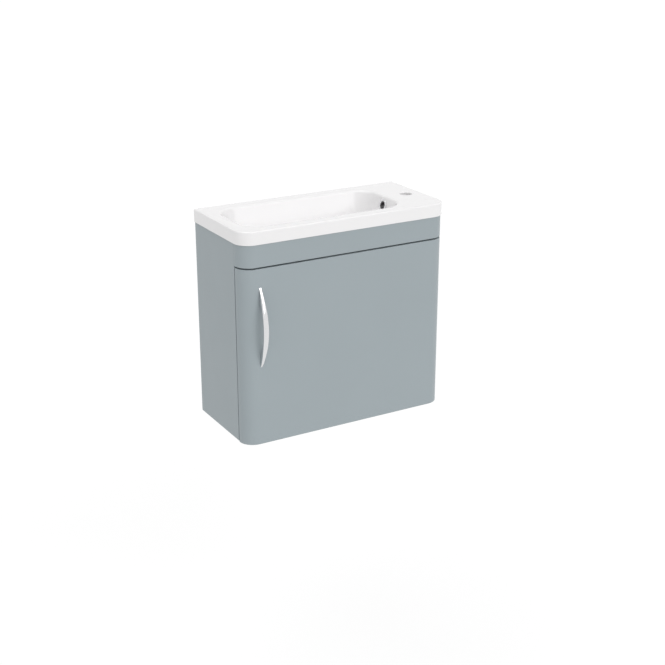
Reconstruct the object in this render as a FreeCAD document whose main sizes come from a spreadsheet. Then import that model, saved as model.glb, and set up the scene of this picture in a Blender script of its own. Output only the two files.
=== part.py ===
"""Wall-hung cloakroom vanity unit: a slim basin on a one-door cabinet with rounded front corners.

The frame is millimetres, +Z up, front towards -Y. The origin lies on the wall plane, in the
middle of the width, level with the underside of the carcass.
"""

import FreeCAD, Part
import math
import os
import re

import Sketcher

# Driving dimensions: name, millimetres (degrees for the draft), what it is.
SIZES = (
    ("basin_width", 450, "basin across the front"),
    ("basin_depth", 203, "basin from the wall to its front"),
    ("rim_height", 26, "height of the basin's visible edge"),
    ("overhang", 2, "basin past the cabinet at the sides and front"),
    ("rim_edge_fillet", 2.5, "rounding of the basin's top outer edge"),
    ("carcass_height", 394, "cabinet from its underside to the basin"),
    ("corner_radius", 29, "rounded vertical corners of the door and fascia"),
    ("panel_thickness", 16, "side panels, bottom panel and rear rail"),
    ("front_thickness", 30, "door at its stiles"),
    ("board_thickness", 18, "door and fascia between their thick ends"),
    ("door_seam", 2, "gap between the closed door and the side panels"),
    ("reveal", 3, "shadow gap between the fascia and the door"),
    ("fascia_height", 43, "fixed strip under the basin"),
    ("fascia_end", 18, "width of the fascia's thick ends"),
    ("door_drop", 1.5, "door below the underside of the carcass"),
    ("door_stile", 60, "width of the door's thick stiles"),
    ("back_thickness", 6, "back panel"),
    ("back_inset", 18, "void between the wall and the back panel"),
    ("back_lap", 6, "back panel above the rear rail's lower edge"),
    ("groove_depth", 5.5, "groove for the back panel in the side panels"),
    ("groove_play", 0.2, "play of the back panel in its grooves"),
    ("service_width", 160, "pipe cut-out in the back panel"),
    ("service_height", 90, "pipe cut-out in the back panel"),
    ("service_level", 190, "middle of the pipe cut-out"),
    ("rail_height", 60, "rear rail"),
    ("bowl_depth", 85, "bowl below the rim"),
    ("bowl_wall", 11, "thickness of the bowl's wall and floor"),
    ("bowl_draft", 15, "lean of the bowl's walls, in degrees"),
    ("bowl_corner", 45, "plan radius of the bowl's corners at the rim"),
    ("bowl_clearance", 6, "bowl to the side panel and to the rear rail"),
    ("bowl_front_clearance", 2.6, "bowl to the back of the fascia"),
    ("bowl_edge_fillet", 6, "rounding of the bowl's edge at the rim"),
    ("bowl_floor_fillet", 17, "rounding between the bowl's walls and floor"),
    ("deck_width", 81, "tap deck at the right of the bowl"),
    ("tap_hole_diameter", 24, "tap hole"),
    ("tap_inset", 32, "tap hole's centre from the basin's right edge"),
    ("waste_diameter", 45, "waste hole"),
    ("waste_seat_diameter", 64, "recess for the waste's flange"),
    ("waste_seat_depth", 2.5, "recess for the waste's flange"),
    ("waste_boss_wall", 14, "wall of the boss round the waste hole"),
    ("waste_inset", 112, "waste hole's centre from the bowl's right edge"),
    ("overflow_diameter", 18, "overflow hole"),
    ("overflow_drop", 17.5, "overflow hole's centre below the rim"),
    ("duct_offset", 4, "overflow duct from the bowl's right edge"),
    ("duct_depth", 14, "overflow duct, left to right"),
    ("duct_width", 24, "overflow duct, front to back"),
    ("duct_wall", 8, "wall round the overflow duct"),
    ("gallery_height", 11, "passage from the duct to the waste hole"),
    ("gallery_floor", 6, "floor of the passage"),
    ("ring_diameter", 24.5, "overflow ring's flange"),
    ("ring_flange", 1.6, "thickness of the overflow ring's flange"),
    ("ring_wall", 0.9, "wall of the overflow ring's sleeve"),
    ("ring_sleeve", 8, "length of the overflow ring's sleeve"),
    ("fit_play", 0.1, "radial play of fixings in their holes"),
    ("cut_past", 1, "how far a cutting tool runs past a face"),
    ("handle_inset", 36.6, "handle's centre line from the cabinet's left side"),
    ("handle_drop", 114, "middle of the handle below the door's top"),
    ("handle_length", 156, "handle from tip to tip"),
    ("handle_foot", 24, "length of each foot on the door"),
    ("handle_reach", 24, "outside of the bow from the door"),
    ("handle_bow", 6, "thickness of the bow at its middle"),
    ("handle_width", 10.5, "width of the bow at its middle"),
    ("handle_tip", 4.6, "width of the bow at its tips"),
    ("handle_edge", 1.2, "rounding of the bow's edges"),
    ("handle_centres", 128, "distance between the handle's screws"),
    ("handle_screw_diameter", 4, "handle's machine screws"),
    ("handle_screw_grip", 5.8, "thread of each screw inside its foot"),
    ("handle_head_diameter", 8.4, "head of the handle's screws"),
    ("handle_head_height", 3, "head of the handle's screws"),
    ("handle_head_recess", 5, "depth of the head's recess in the door"),
    ("buffer_diameter", 8, "door buffers"),
    ("buffer_play", 0.3, "door buffers to the side panel's edge"),
    ("buffer_margin", 30, "door buffers from the door's ends"),
    ("hinge_margin", 60, "hinges from the underside and from the door's top"),
    ("cup_diameter", 35, "hinge cup"),
    ("cup_depth", 12, "hinge cup's depth in the door"),
    ("cup_edge", 5, "hinge cup from the door's edge"),
    ("cup_wall", 1, "wall and floor of the hinge cup"),
    ("ear_reach", 28, "cup's ears above and below its centre"),
    ("ear_width", 16, "cup's ears across the door"),
    ("ear_thickness", 1.2, "cup's ears on the door"),
    ("ear_screw_offset", 23, "cup's screws above and below its centre"),
    ("pivot_inset", 14, "hinge pin from the door's edge"),
    ("pivot_depth", 6, "hinge pin inside the cup's mouth"),
    ("pin_diameter", 2.5, "hinge pin"),
    ("pin_play", 0.1, "radial play of the link on its pin"),
    ("lug_inner", 8.2, "cup's lugs from the hinge's middle plane"),
    ("lug_thickness", 2.8, "cup's lugs along the pin"),
    ("lug_size", 9, "cup's lugs in plan"),
    ("lug_past_pin", 3, "cup's lugs behind the pin"),
    ("link_width", 10, "hinge link along the pin"),
    ("link_thickness", 2.5, "hinge link"),
    ("link_eye_diameter", 6.4, "eye of the hinge link round its pin"),
    ("link_neck", 14, "slanted neck of the hinge link"),
    ("link_slant", 27, "slant of the neck from the door's face, in degrees"),
    ("link_tail", 38, "straight tail of the hinge link"),
    ("slide_play", 0.3, "play of the link in its arm"),
    ("arm_gap", 4, "hinge arm's nose behind the door"),
    ("arm_wall", 2.2, "wall of the hinge arm round the link"),
    ("arm_length", 66, "hinge arm"),
    ("arm_channel", 42, "depth of the link's channel in the arm"),
    ("plate_setback", 37, "hinge plate's screws behind the side panel's edge"),
    ("plate_base", 2.5, "thickness of the hinge plate's wings"),
    ("plate_wing", 24, "hinge plate's wings above and below its middle"),
    ("plate_wing_width", 14, "hinge plate's wings, front to back"),
    ("plate_screw_offset", 16, "hinge plate's screws above and below its middle"),
    ("plate_length", 44, "hinge plate under the arm"),
    ("plate_width", 13, "hinge plate under the arm, along the pin"),
    ("wood_screw_diameter", 3.5, "screws in the panels and door"),
    ("wood_screw_grip", 11, "length of those screws in the wood"),
    ("wood_head_diameter", 6.6, "heads of those screws"),
    ("wood_head_height", 1.8, "heads of those screws"),
    ("adjuster_diameter", 5, "adjusting screws of the hinges and hangers"),
    ("adjuster_grip", 5, "hinge adjusting screws inside the arm"),
    ("adjuster_proud", 0.6, "adjusting screws past the surface"),
    ("adjuster_pitch", 10, "distance between a hinge's adjusting screws"),
    ("cam_diameter", 15, "cam locks"),
    ("cam_height", 12, "cam locks"),
    ("cam_inset", 24, "cam's centre from the panel's end"),
    ("cam_cover_diameter", 18, "covers over the cam locks"),
    ("cam_cover_height", 1.2, "covers over the cam locks"),
    ("cam_front", 44, "front cams from the side panels' front edge"),
    ("cam_rear", 45, "rear cams from the wall"),
    ("bolt_diameter", 6, "cam bolts inside the panel"),
    ("bolt_thread_diameter", 5, "cam bolts inside the side panel"),
    ("bolt_thread_grip", 11, "cam bolts inside the side panel"),
    ("bolt_head_diameter", 7, "cam bolt's head inside its cam"),
    ("bolt_head_height", 4, "cam bolt's head inside its cam"),
    ("dowel_diameter", 8, "dowels of the bottom panel and rear rail"),
    ("dowel_grip", 11, "dowels inside the side panel"),
    ("dowel_length", 30, "dowels of the bottom panel and rear rail"),
    ("dowel_front", 19, "front dowels from the side panels' front edge"),
    ("dowel_rear", 70, "rear dowels from the wall"),
    ("dowel_margin", 13, "rail's dowels from its edges"),
    ("peg_diameter", 6, "fascia's dowels"),
    ("peg_length", 26, "fascia's dowels"),
    ("peg_margin", 12, "fascia's dowels from its edges"),
    ("hanger_drop", 12, "hanger's housing below the rear rail"),
    ("hanger_height", 60, "hanger's housing"),
    ("hanger_width", 22, "hanger's housing, left to right"),
    ("hanger_depth", 38, "hanger's housing, front to back"),
    ("hanger_wall", 3, "hanger's housing"),
    ("hanger_play", 1.5, "hook inside the housing and over its plate"),
    ("hanger_screw_pitch", 18, "hanger's screws"),
    ("hook_width", 12, "hanger's hook"),
    ("hook_thickness", 5, "hook's arm"),
    ("hook_block", 12, "hook's block, front to back"),
    ("hook_block_height", 20, "hook's block"),
    ("hook_tip", 3, "hook's tip behind the lip"),
    ("hook_drop", 9, "hook's tip below the arm"),
    ("plate_thickness", 2.5, "wall plates"),
    ("lip_gap", 5, "gap between the wall and the plate's lip"),
    ("lip_height", 12, "plate's lip above its step"),
    ("plate_span", 42, "wall plate, left to right"),
    ("plate_margin", 3, "wall plate to the side panel"),
    ("plate_drop", 60, "wall plate below its step"),
    ("wall_hole_diameter", 6.5, "wall screw holes"),
    ("wall_hole_pitch", 32, "holes of one wall plate"),
    ("wall_hole_margin", 12, "lower hole from the plate's end"),
    ("hook_window_play", 3, "window in the back panel round the hook"),
)

# Places that follow from the sizes, from the cabinet outwards. The row frame is used throughout.
PLACES = {
    "half": "(basin_width / 2 - overhang)",
    "inner": "(half - panel_thickness)",
    "front": "(overhang - basin_depth)",
    "top": "(carcass_height + rim_height)",
    "door_back": "(front + front_thickness)",
    "side_front": "(door_back + door_seam)",
    "fascia_back": "(front + board_thickness)",
    "fascia_low": "(carcass_height - fascia_height)",
    "door_top": "(fascia_low - reveal)",
    "back_rear": "(0 - back_inset)",
    "back_front": "(back_rear - back_thickness)",
    "lean": "tan(bowl_draft * 1 deg)",
    "shell_step": "(bowl_wall / cos(bowl_draft * 1 deg) - rim_height * lean)",
    "bowl_left": "(shell_step + bowl_clearance - inner)",
    "bowl_right": "(basin_width / 2 - deck_width)",
    "bowl_front": "(fascia_back + bowl_front_clearance + shell_step)",
    "bowl_back": "(0 - panel_thickness - bowl_clearance - shell_step)",
    "bowl_middle": "((bowl_front + bowl_back) / 2)",
    "bowl_floor": "(top - bowl_depth)",
    "shell_floor": "(bowl_floor - bowl_wall)",
    "gallery_low": "(shell_floor - gallery_height - gallery_floor + bowl_wall / 2)",
    "waste_place": "(bowl_right - waste_inset)",
    "overflow_place": "(bowl_right - overflow_drop * lean)",
    "overflow_level": "(top - overflow_drop)",
    "duct_left": "(bowl_right + duct_offset)",
    "duct_right": "(duct_left + duct_depth)",
    "tap_place": "(basin_width / 2 - tap_inset)",
    "handle_place": "(handle_inset - half)",
    "handle_level": "(door_top - handle_drop)",
    "cup_place": "(half - cup_edge - cup_diameter / 2)",
    "pivot_place": "(half - pivot_inset)",
    "pivot_front": "(door_back - pivot_depth)",
    "tail_place": "(pivot_place - link_neck * cos(link_slant * 1 deg))",
    "tail_front": "(pivot_front + link_neck * sin(link_slant * 1 deg))",
    "arm_front": "(door_back + arm_gap)",
    "arm_half": "(link_thickness / 2 + slide_play + arm_wall)",
    "arm_depth_half": "(link_width / 2 + slide_play + arm_wall)",
    "plate_middle": "(side_front + plate_setback)",
    "cam_place": "(inner - cam_inset)",
    "rail_low": "(carcass_height - rail_height)",
    "hanger_top": "(rail_low - hanger_drop)",
    "hanger_low": "(hanger_top - hanger_height)",
    "hanger_front": "(back_front - hanger_depth)",
    "hanger_inner": "(inner - hanger_width)",
    "hook_place": "(inner - hanger_width / 2)",
    "hook_top": "(hanger_top - hanger_wall - hanger_play)",
    "hook_under": "(hook_top - hook_thickness)",
    "lip_top": "(hook_under - fit_play)",
    "step_top": "(lip_top - lip_height)",
    "plate_low": "(step_top - plate_drop)",
    "plate_place": "(inner - plate_margin - plate_span / 2)",
    "hole_low": "(plate_low + wall_hole_margin)",
}

doc = FreeCAD.newDocument("vanity_unit")
sheet = doc.addObject("Spreadsheet::Sheet", "Sizes")
for row, (alias, number, note) in enumerate(SIZES, start=1):
    sheet.set(f"A{row}", note)
    sheet.set(f"B{row}", str(number))
    sheet.setAlias(f"B{row}", alias)
doc.recompute()

SIZE_NAMES = {alias for alias, number, note in SIZES}
WORD = re.compile(r"[a-z][a-z_]+")
NODES = []


def formula(text):
    """A formula with the places written out and each size read from the sheet."""

    def written(match):
        word = match.group()
        if word in PLACES:
            return formula(PLACES[word])
        return f"Sizes.{word}" if word in SIZE_NAMES else word

    return WORD.sub(written, str(text))


def value(text):
    """The number that a formula gives now."""
    result = sheet.evalExpression(formula(text))
    return float(getattr(result, "Value", result))


def bind(item, **formulas):
    """Bind properties of an object; a double underscore stands for a dot in the property's path."""
    for path, text in formulas.items():
        item.setExpression(path.replace("__", "."), formula(text))
    return item


def node(item, label):
    """Name an object as a sub-part."""
    item.Label = label
    NODES.append(item)
    return item


def place(item, x, y, z):
    return bind(item, Placement__Base__x=x, Placement__Base__y=y, Placement__Base__z=z)


def box(name, x, y, z):
    """A block between pairs of formulas along each axis."""
    block = doc.addObject("Part::Box", name)
    length, width, height = (f"({high}) - ({low})" for low, high in (x, y, z))
    bind(block, Length=length, Width=width, Height=height)
    return place(block, x[0], y[0], z[0])


def around(middle, size):
    """The pair of formulas for a size centred on a place."""
    return f"({middle} - {size} / 2)", f"({middle} + {size} / 2)"


TURN = {
    "x": FreeCAD.Rotation(FreeCAD.Vector(0, 1, 0), 90),
    "y": FreeCAD.Rotation(FreeCAD.Vector(1, 0, 0), -90),
    "z": FreeCAD.Rotation(),
}


def rod(name, axis, start, length, diameter):
    """A cylinder from a start point along +X, +Y or +Z."""
    cylinder = doc.addObject("Part::Cylinder", name)
    cylinder.Placement.Rotation = TURN[axis]
    bind(cylinder, Radius=f"{diameter} / 2", Height=length)
    return place(cylinder, *start)


def fuse(name, *items):
    joined = doc.addObject("Part::MultiFuse", name)
    joined.Shapes = list(items)
    joined.Refine = True
    return joined


def cut(name, base, *tools):
    result = doc.addObject("Part::Cut", name)
    result.Base = base
    result.Tool = tools[0] if len(tools) == 1 else fuse(f"{name}_tools", *tools)
    result.Refine = True
    return result


def group(name, items):
    """One node of several like pieces."""
    bundle = doc.addObject("Part::Compound", name)
    bundle.Links = list(items)
    return node(bundle, name)


def origin_plane(body, role):
    return next(plane for plane in body.Origin.OriginFeatures if plane.Role == role)


def sketch_on(body, name, role, offset):
    """A sketch on one of the body's own planes, moved along the plane's normal."""
    sketch = body.newObject("Sketcher::SketchObject", name)
    sketch.AttachmentSupport = [(origin_plane(body, role), "")]
    sketch.MapMode = "FlatFace"
    return bind(sketch, AttachmentOffset__Base__z=offset)


def hold(sketch, kind, *where, size):
    """Add a constraint whose size is bound to a formula."""
    index = sketch.addConstraint(Sketcher.Constraint(kind, *where, value(size)))
    sketch.setExpression(f"Constraints[{index}]", formula(size))


def outline(body, name, level, sides):
    """A closed plan outline of sides along X and Y, each with a place and a radius at its end.

    The sides run anticlockwise: "across" is a side along X at a y, "along" a side along Y at an x.
    """
    sketch = sketch_on(body, name, "XY_Plane", level)
    count = len(sides)
    at = [value(side[1]) for side in sides]
    radius = [value(side[2]) if side[2] else 0.0 for side in sides]
    across = [side[0] == "across" for side in sides]
    corners = []
    for i in range(count):
        j = (i + 1) % count
        corners.append(FreeCAD.Vector(at[j] if across[i] else at[i], at[i] if across[i] else at[j], 0))
    heading = [(corners[i] - corners[i - 1]).normalize() for i in range(count)]
    lines = []
    for i in range(count):
        start = corners[i - 1] + heading[i] * radius[i - 1]
        end = corners[i] - heading[i] * radius[i]
        line = sketch.addGeometry(Part.LineSegment(start, end))
        sketch.addConstraint(Sketcher.Constraint("Horizontal" if across[i] else "Vertical", line))
        hold(sketch, "DistanceY" if across[i] else "DistanceX", -1, 1, line, 1, size=sides[i][1])
        lines.append(line)
    for i in range(count):
        j = (i + 1) % count
        if not sides[i][2]:
            sketch.addConstraint(Sketcher.Constraint("Coincident", lines[i], 2, lines[j], 1))
            continue
        centre = corners[i] + (heading[j] - heading[i]) * radius[i]
        left_turn = heading[i].cross(heading[j]).z > 0
        first = -heading[j] if left_turn else heading[i]
        begin = math.atan2(first.y, first.x)
        circle = Part.Circle(centre, FreeCAD.Vector(0, 0, 1), radius[i])
        arc = sketch.addGeometry(Part.ArcOfCircle(circle, begin, begin + math.pi / 2))
        near, far = (1, 2) if left_turn else (2, 1)
        sketch.addConstraint(Sketcher.Constraint("Tangent", lines[i], 2, arc, near))
        sketch.addConstraint(Sketcher.Constraint("Tangent", arc, far, lines[j], 1))
        hold(sketch, "Radius", arc, size=sides[i][2])
    return sketch


def body_of(name):
    return doc.addObject("PartDesign::Body", name)


def pad(body, sketch, name, length, down=False, taper=None):
    feature = body.newObject("PartDesign::Pad", name)
    feature.Profile = sketch
    feature.Reversed = down
    bind(feature, Length=length)
    if taper:
        bind(feature, TaperAngle=taper)
    return feature


def edge_names(shape, wanted):
    return [f"Edge{i}" for i, edge in enumerate(shape.Edges, start=1) if wanted(edge)]


def level_with(edge, height):
    box_of_edge = edge.BoundBox
    return abs(box_of_edge.ZMin - height) < 0.01 and abs(box_of_edge.ZMax - height) < 0.01


def round_edges(name, base, rounds):
    """Fillet edges picked by place: pairs of a test on the edge and the radius's formula."""
    doc.recompute()
    feature = doc.addObject("Part::Fillet", name)
    feature.Base = base
    picked = []
    for wanted, radius in rounds:
        size = value(radius)
        picked += [(i, size, size) for i, edge in enumerate(base.Shape.Edges, start=1) if wanted(edge)]
    feature.Edges = picked
    return feature


def bowl_solid(name, level, grow, depth, corner, fillet):
    """A tapering rounded block for the inside or the outside of the bowl, hanging down from a level."""
    body = body_of(name)
    sides = (
        ("across", f"bowl_front - {grow}", corner),
        ("along", f"bowl_right + {grow}", corner),
        ("across", f"bowl_back + {grow}", corner),
        ("along", f"bowl_left - {grow}", corner),
    )
    sketch = outline(body, f"{name}_outline", level, sides)
    block = pad(body, sketch, f"{name}_block", depth, down=True, taper="0 - bowl_draft")
    doc.recompute()
    bottom = value(level) - value(depth)
    rounded = body.newObject("PartDesign::Fillet", f"{name}_fillet")
    rounded.Base = (block, edge_names(block.Shape, lambda edge: level_with(edge, bottom)))
    bind(rounded, Radius=fillet)
    return body


def make_basin():
    """The one-piece basin: rim, bowl, tap deck, and the overflow's duct and gallery to the waste."""
    rim = body_of("rim")
    sides = (
        ("across", "0 - basin_depth", "corner_radius + overhang"),
        ("along", "basin_width / 2", None),
        ("across", "0", None),
        ("along", "0 - basin_width / 2", "corner_radius + overhang"),
    )
    pad(rim, outline(rim, "rim_outline", "carcass_height", sides), "rim_slab", "rim_height")
    shell = bowl_solid("shell", "carcass_height", "shell_step", "carcass_height - shell_floor",
                       "(bowl_corner + shell_step)", "bowl_floor_fillet + bowl_wall / 2")
    duct_y = around("bowl_middle", "(duct_width + 2 * duct_wall)")
    chimney = box("chimney", ("bowl_right - duct_width", "duct_right + duct_wall"), duct_y,
                  ("gallery_low", "carcass_height + rim_height / 2"))
    gallery = box("gallery", ("waste_place", "duct_right + duct_wall"), duct_y,
                  ("gallery_low", "bowl_floor"))
    boss = rod("waste_boss", "z", ("waste_place", "bowl_middle", "gallery_low"),
               "bowl_floor - gallery_low", "(waste_diameter + 2 * waste_boss_wall)")
    cast = fuse("casting", rim, shell, chimney, gallery, boss)
    hollow = bowl_solid("hollow", "top", "0", "bowl_depth", "bowl_corner", "bowl_floor_fillet")
    duct_inside = around("bowl_middle", "duct_width")
    duct = box("duct", ("duct_left", "duct_right"), duct_inside,
               ("gallery_low + gallery_floor", "overflow_level + overflow_diameter / 2"))
    passage = box("passage", ("waste_place", "duct_right"), duct_inside,
                  ("gallery_low + gallery_floor", "gallery_low + gallery_floor + gallery_height"))
    waste = rod("waste_bore", "z", ("waste_place", "bowl_middle", "gallery_low - cut_past"),
                "bowl_floor - gallery_low + 2 * cut_past", "waste_diameter")
    seat = rod("waste_seat", "z", ("waste_place", "bowl_middle", "bowl_floor - waste_seat_depth"),
               "waste_seat_depth + cut_past", "waste_seat_diameter")
    tap = rod("tap_bore", "z", ("tap_place", "0 - basin_depth / 2", "carcass_height - cut_past"),
              "rim_height + 2 * cut_past", "tap_hole_diameter")
    overflow = overflow_rod("overflow_bore", "0 - ring_flange",
                            "(duct_left + duct_depth / 2 - overflow_place) / cos(bowl_draft * 1 deg)",
                            "overflow_diameter")
    hollowed = cut("hollowed", cast, hollow)
    top, left, right, near = (value(word) for word in ("top", "bowl_left", "bowl_right", "bowl_front"))

    def free_edge(edge):
        return level_with(edge, top) and edge.BoundBox.YMin < -0.01

    def bowl_edge(edge):
        reach = edge.BoundBox
        across = reach.XMin > left - 0.01 and reach.XMax < right + 0.01
        return free_edge(edge) and across and reach.YMin > near - 0.01

    def outer_edge(edge):
        return free_edge(edge) and not bowl_edge(edge)

    rounds = ((outer_edge, "rim_edge_fillet"), (bowl_edge, "bowl_edge_fillet"))
    rounded = round_edges("basin_rounded", hollowed, rounds)
    node(cut("basin", rounded, duct, passage, waste, seat, tap, overflow), "basin")


def overflow_rod(name, start, length, diameter):
    """A cylinder square to the bowl's right wall, from a distance behind the wall's face."""
    cylinder = doc.addObject("Part::Cylinder", name)
    cylinder.Placement.Rotation = FreeCAD.Rotation(FreeCAD.Vector(0, 1, 0), 90)
    bind(cylinder, Radius=f"{diameter} / 2", Height=f"{length} - ({start})",
         Placement__Rotation__Angle="90 + bowl_draft")
    return place(cylinder, f"overflow_place + ({start}) * cos(bowl_draft * 1 deg)", "bowl_middle",
                 f"overflow_level - ({start}) * sin(bowl_draft * 1 deg)")


def make_overflow_ring():
    sleeve = "(overflow_diameter - 2 * fit_play)"
    flange = overflow_rod("ring_flange_disc", "0 - ring_flange", "0", "ring_diameter")
    tube = overflow_rod("ring_tube", "0 - ring_flange", "ring_sleeve", sleeve)
    bore = overflow_rod("ring_bore", "0 - 2 * ring_flange", "ring_sleeve + cut_past",
                        f"({sleeve} - 2 * ring_wall)")
    node(cut("ring", fuse("ring_solid", flange, tube), bore), "overflow_ring")


def mirrored(side, text):
    """A formula on the right of the unit, or its mirror image on the left."""
    return text if side > 0 else f"(0 - {text})"


def span(side, near, far):
    """A pair of formulas along X, mirrored for the left, in rising order."""
    pair = (mirrored(side, near), mirrored(side, far))
    return pair if side > 0 else pair[::-1]


def cross_rod(name, side, near, far, y, z, diameter):
    """A cylinder along X between two distances from the middle of the unit."""
    low, high = span(side, near, far)
    return rod(name, "x", (low, y, z), f"({high}) - ({low})", diameter)


SIDES = ((-1, "left"), (1, "right"))
HINGES = (("lower", "hinge_margin"), ("upper", "(door_top - hinge_margin)"))
BOTTOM_MIDDLE = "panel_thickness / 2"
RAIL_MIDDLE = "(carcass_height - rail_height / 2)"
RAIL_FRONT = "(0 - panel_thickness)"
CAMS = (
    ("front", "(side_front + cam_front)", BOTTOM_MIDDLE),
    ("rear", "(0 - cam_rear)", BOTTOM_MIDDLE),
    ("rail", "(0 - panel_thickness / 2)", RAIL_MIDDLE),
)
DOWELS = (
    ("front", "(side_front + dowel_front)", BOTTOM_MIDDLE),
    ("rear", "(0 - dowel_rear)", BOTTOM_MIDDLE),
    ("high", "(0 - panel_thickness / 2)", "(carcass_height - dowel_margin)"),
    ("low", "(0 - panel_thickness / 2)", "(rail_low + dowel_margin)"),
)
PEGS = (("high", "(carcass_height - peg_margin)"), ("low", "(fascia_low + peg_margin)"))
PEG_PLACE = "(half - panel_thickness / 2)"
HANGER_SCREWS = (("low", "(hanger_low + hanger_screw_pitch / 2)"),
                 ("high", "(hanger_low + 3 * hanger_screw_pitch / 2)"))
HANGER_SCREW_DEPTH = "(hanger_front + hanger_depth / 2)"


def fixing_holes(name, side):
    """Holes in a side panel for the cam bolts, dowels, pegs and hanger screws."""
    holes = []
    for where, y, z in CAMS:
        holes.append(cross_rod(f"{name}_{where}_bolt_hole", side, "(inner - cut_past)",
                               "(inner + bolt_thread_grip)", y, z, "(bolt_thread_diameter + 2 * fit_play)"))
    for where, y, z in DOWELS:
        holes.append(cross_rod(f"{name}_{where}_dowel_hole", side, "(inner - cut_past)",
                               "(inner + dowel_grip)", y, z, "(dowel_diameter + 2 * fit_play)"))
    for where, z in PEGS:
        start = (mirrored(side, PEG_PLACE), "side_front - cut_past", z)
        holes.append(rod(f"{name}_{where}_peg_hole", "y", start, "peg_length / 2 + cut_past",
                         "(peg_diameter + 2 * fit_play)"))
    for where, z in HANGER_SCREWS:
        holes.append(cross_rod(f"{name}_{where}_hanger_hole", side, "(inner - cut_past)",
                               "(inner + wood_screw_grip)", HANGER_SCREW_DEPTH, z,
                               "(wood_screw_diameter + 2 * fit_play)"))
    return holes


def make_side_panels():
    for side, word in SIDES:
        name = f"{word}_side_panel"
        panel = box(f"{name}_board", span(side, "inner", "half"), ("side_front", "0"),
                    ("0", "carcass_height"))
        groove = box(f"{name}_groove", span(side, "(inner - cut_past)", "(inner + groove_depth)"),
                     ("(back_front - groove_play)", "(back_rear + groove_play)"),
                     ("(panel_thickness - cut_past)", "(carcass_height + cut_past)"))
        tools = [groove] + fixing_holes(name, side)
        if side > 0:
            tools += hinge_plate_holes()
        node(cut(name, panel, *tools), name)


def hinge_plate_holes():
    holes = []
    for hinge, level in HINGES:
        for sign, where in ((-1, "low"), (1, "high")):
            holes.append(cross_rod(f"{hinge}_{where}_plate_hole", 1, "(inner - cut_past)",
                                   "(inner + wood_screw_grip)", "plate_middle",
                                   f"({level} + {sign} * plate_screw_offset)",
                                   "(wood_screw_diameter + 2 * fit_play)"))
    return holes


def end_bores(name, cams, dowels):
    """Bores in a cross panel's ends for its cam bolts and dowels."""
    bores = []
    for side, word in SIDES:
        for where, y, z in cams:
            bores.append(cross_rod(f"{name}_{word}_{where}_bolt_bore", side, "cam_place",
                                   "(inner + cut_past)", y, z, "(bolt_head_diameter + 2 * fit_play)"))
        for where, y, z in dowels:
            bores.append(cross_rod(f"{name}_{word}_{where}_dowel_bore", side,
                                   "(inner + dowel_grip - dowel_length)", "(inner + cut_past)", y, z,
                                   "(dowel_diameter + 2 * fit_play)"))
    return bores


def cam_rod(name, side, where, y, extra, diameter, height):
    """A cylinder on a cam's axis, sunk from the bottom panel's top or the rail's front face."""
    x = mirrored(side, "cam_place")
    if where == "rail":
        return rod(name, "y", (x, f"{RAIL_FRONT} - {extra}", RAIL_MIDDLE), height, diameter)
    return rod(name, "z", (x, y, f"panel_thickness + {extra} - {height}"), height, diameter)


def cam_sockets(name, cams):
    return [cam_rod(f"{name}_{word}_{where}_socket", side, where, y, "cut_past",
                    "(cam_diameter + 2 * fit_play)", "(cam_height + cut_past)")
            for side, word in SIDES for where, y, z in cams]


def make_cross_panels():
    board = box("bottom_board", ("(0 - inner)", "inner"), ("side_front", "0"), ("0", "panel_thickness"))
    tools = end_bores("bottom", CAMS[:2], DOWELS[:2]) + cam_sockets("bottom", CAMS[:2])
    node(cut("bottom_panel", board, *tools), "bottom_panel")
    board = box("rail_board", ("(0 - inner)", "inner"), (RAIL_FRONT, "0"), ("rail_low", "carcass_height"))
    tools = end_bores("rail", CAMS[2:], DOWELS[2:]) + cam_sockets("rail", CAMS[2:])
    node(cut("rear_rail", board, *tools), "rear_rail")


def make_back_panel():
    reach = "(inner + groove_depth - groove_play)"
    depth = ("back_front", "back_rear")
    board = box("back_board", (f"(0 - {reach})", reach), depth,
                ("panel_thickness", "(rail_low + back_lap)"))
    through = ("(back_front - cut_past)", "(back_rear + cut_past)")
    tools = [box("service_window", around("waste_place", "service_width"), through,
                 around("service_level", "service_height"))]
    for side, word in SIDES:
        tools.append(box(f"{word}_hook_window",
                         span(side, "(hook_place - hook_width / 2 - hook_window_play)",
                              "(hook_place + hook_width / 2 + hook_window_play)"),
                         through, ("(hook_under - hook_window_play)", "(hook_top + hook_window_play)")))
    node(cut("back_panel", board, *tools), "back_panel")


def make_fascia():
    """The fixed strip under the basin, with rounded corners and thick ends on the side panels."""
    body = body_of("fascia_strip")
    ends = "(half - fascia_end)"
    sides = (
        ("across", "front", "corner_radius"),
        ("along", "half", None),
        ("across", "side_front", None),
        ("along", ends, None),
        ("across", "fascia_back", None),
        ("along", f"0 - {ends}", None),
        ("across", "side_front", None),
        ("along", "0 - half", "corner_radius"),
    )
    pad(body, outline(body, "fascia_outline", "fascia_low", sides), "fascia_block", "fascia_height")
    holes = [rod(f"fascia_{word}_{where}_peg_hole", "y",
                 (mirrored(side, PEG_PLACE), "side_front - peg_length / 2", z), "peg_length",
                 "(peg_diameter + 2 * fit_play)") for side, word in SIDES for where, z in PEGS]
    node(cut("fascia", body, *holes), "front_fascia")


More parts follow.
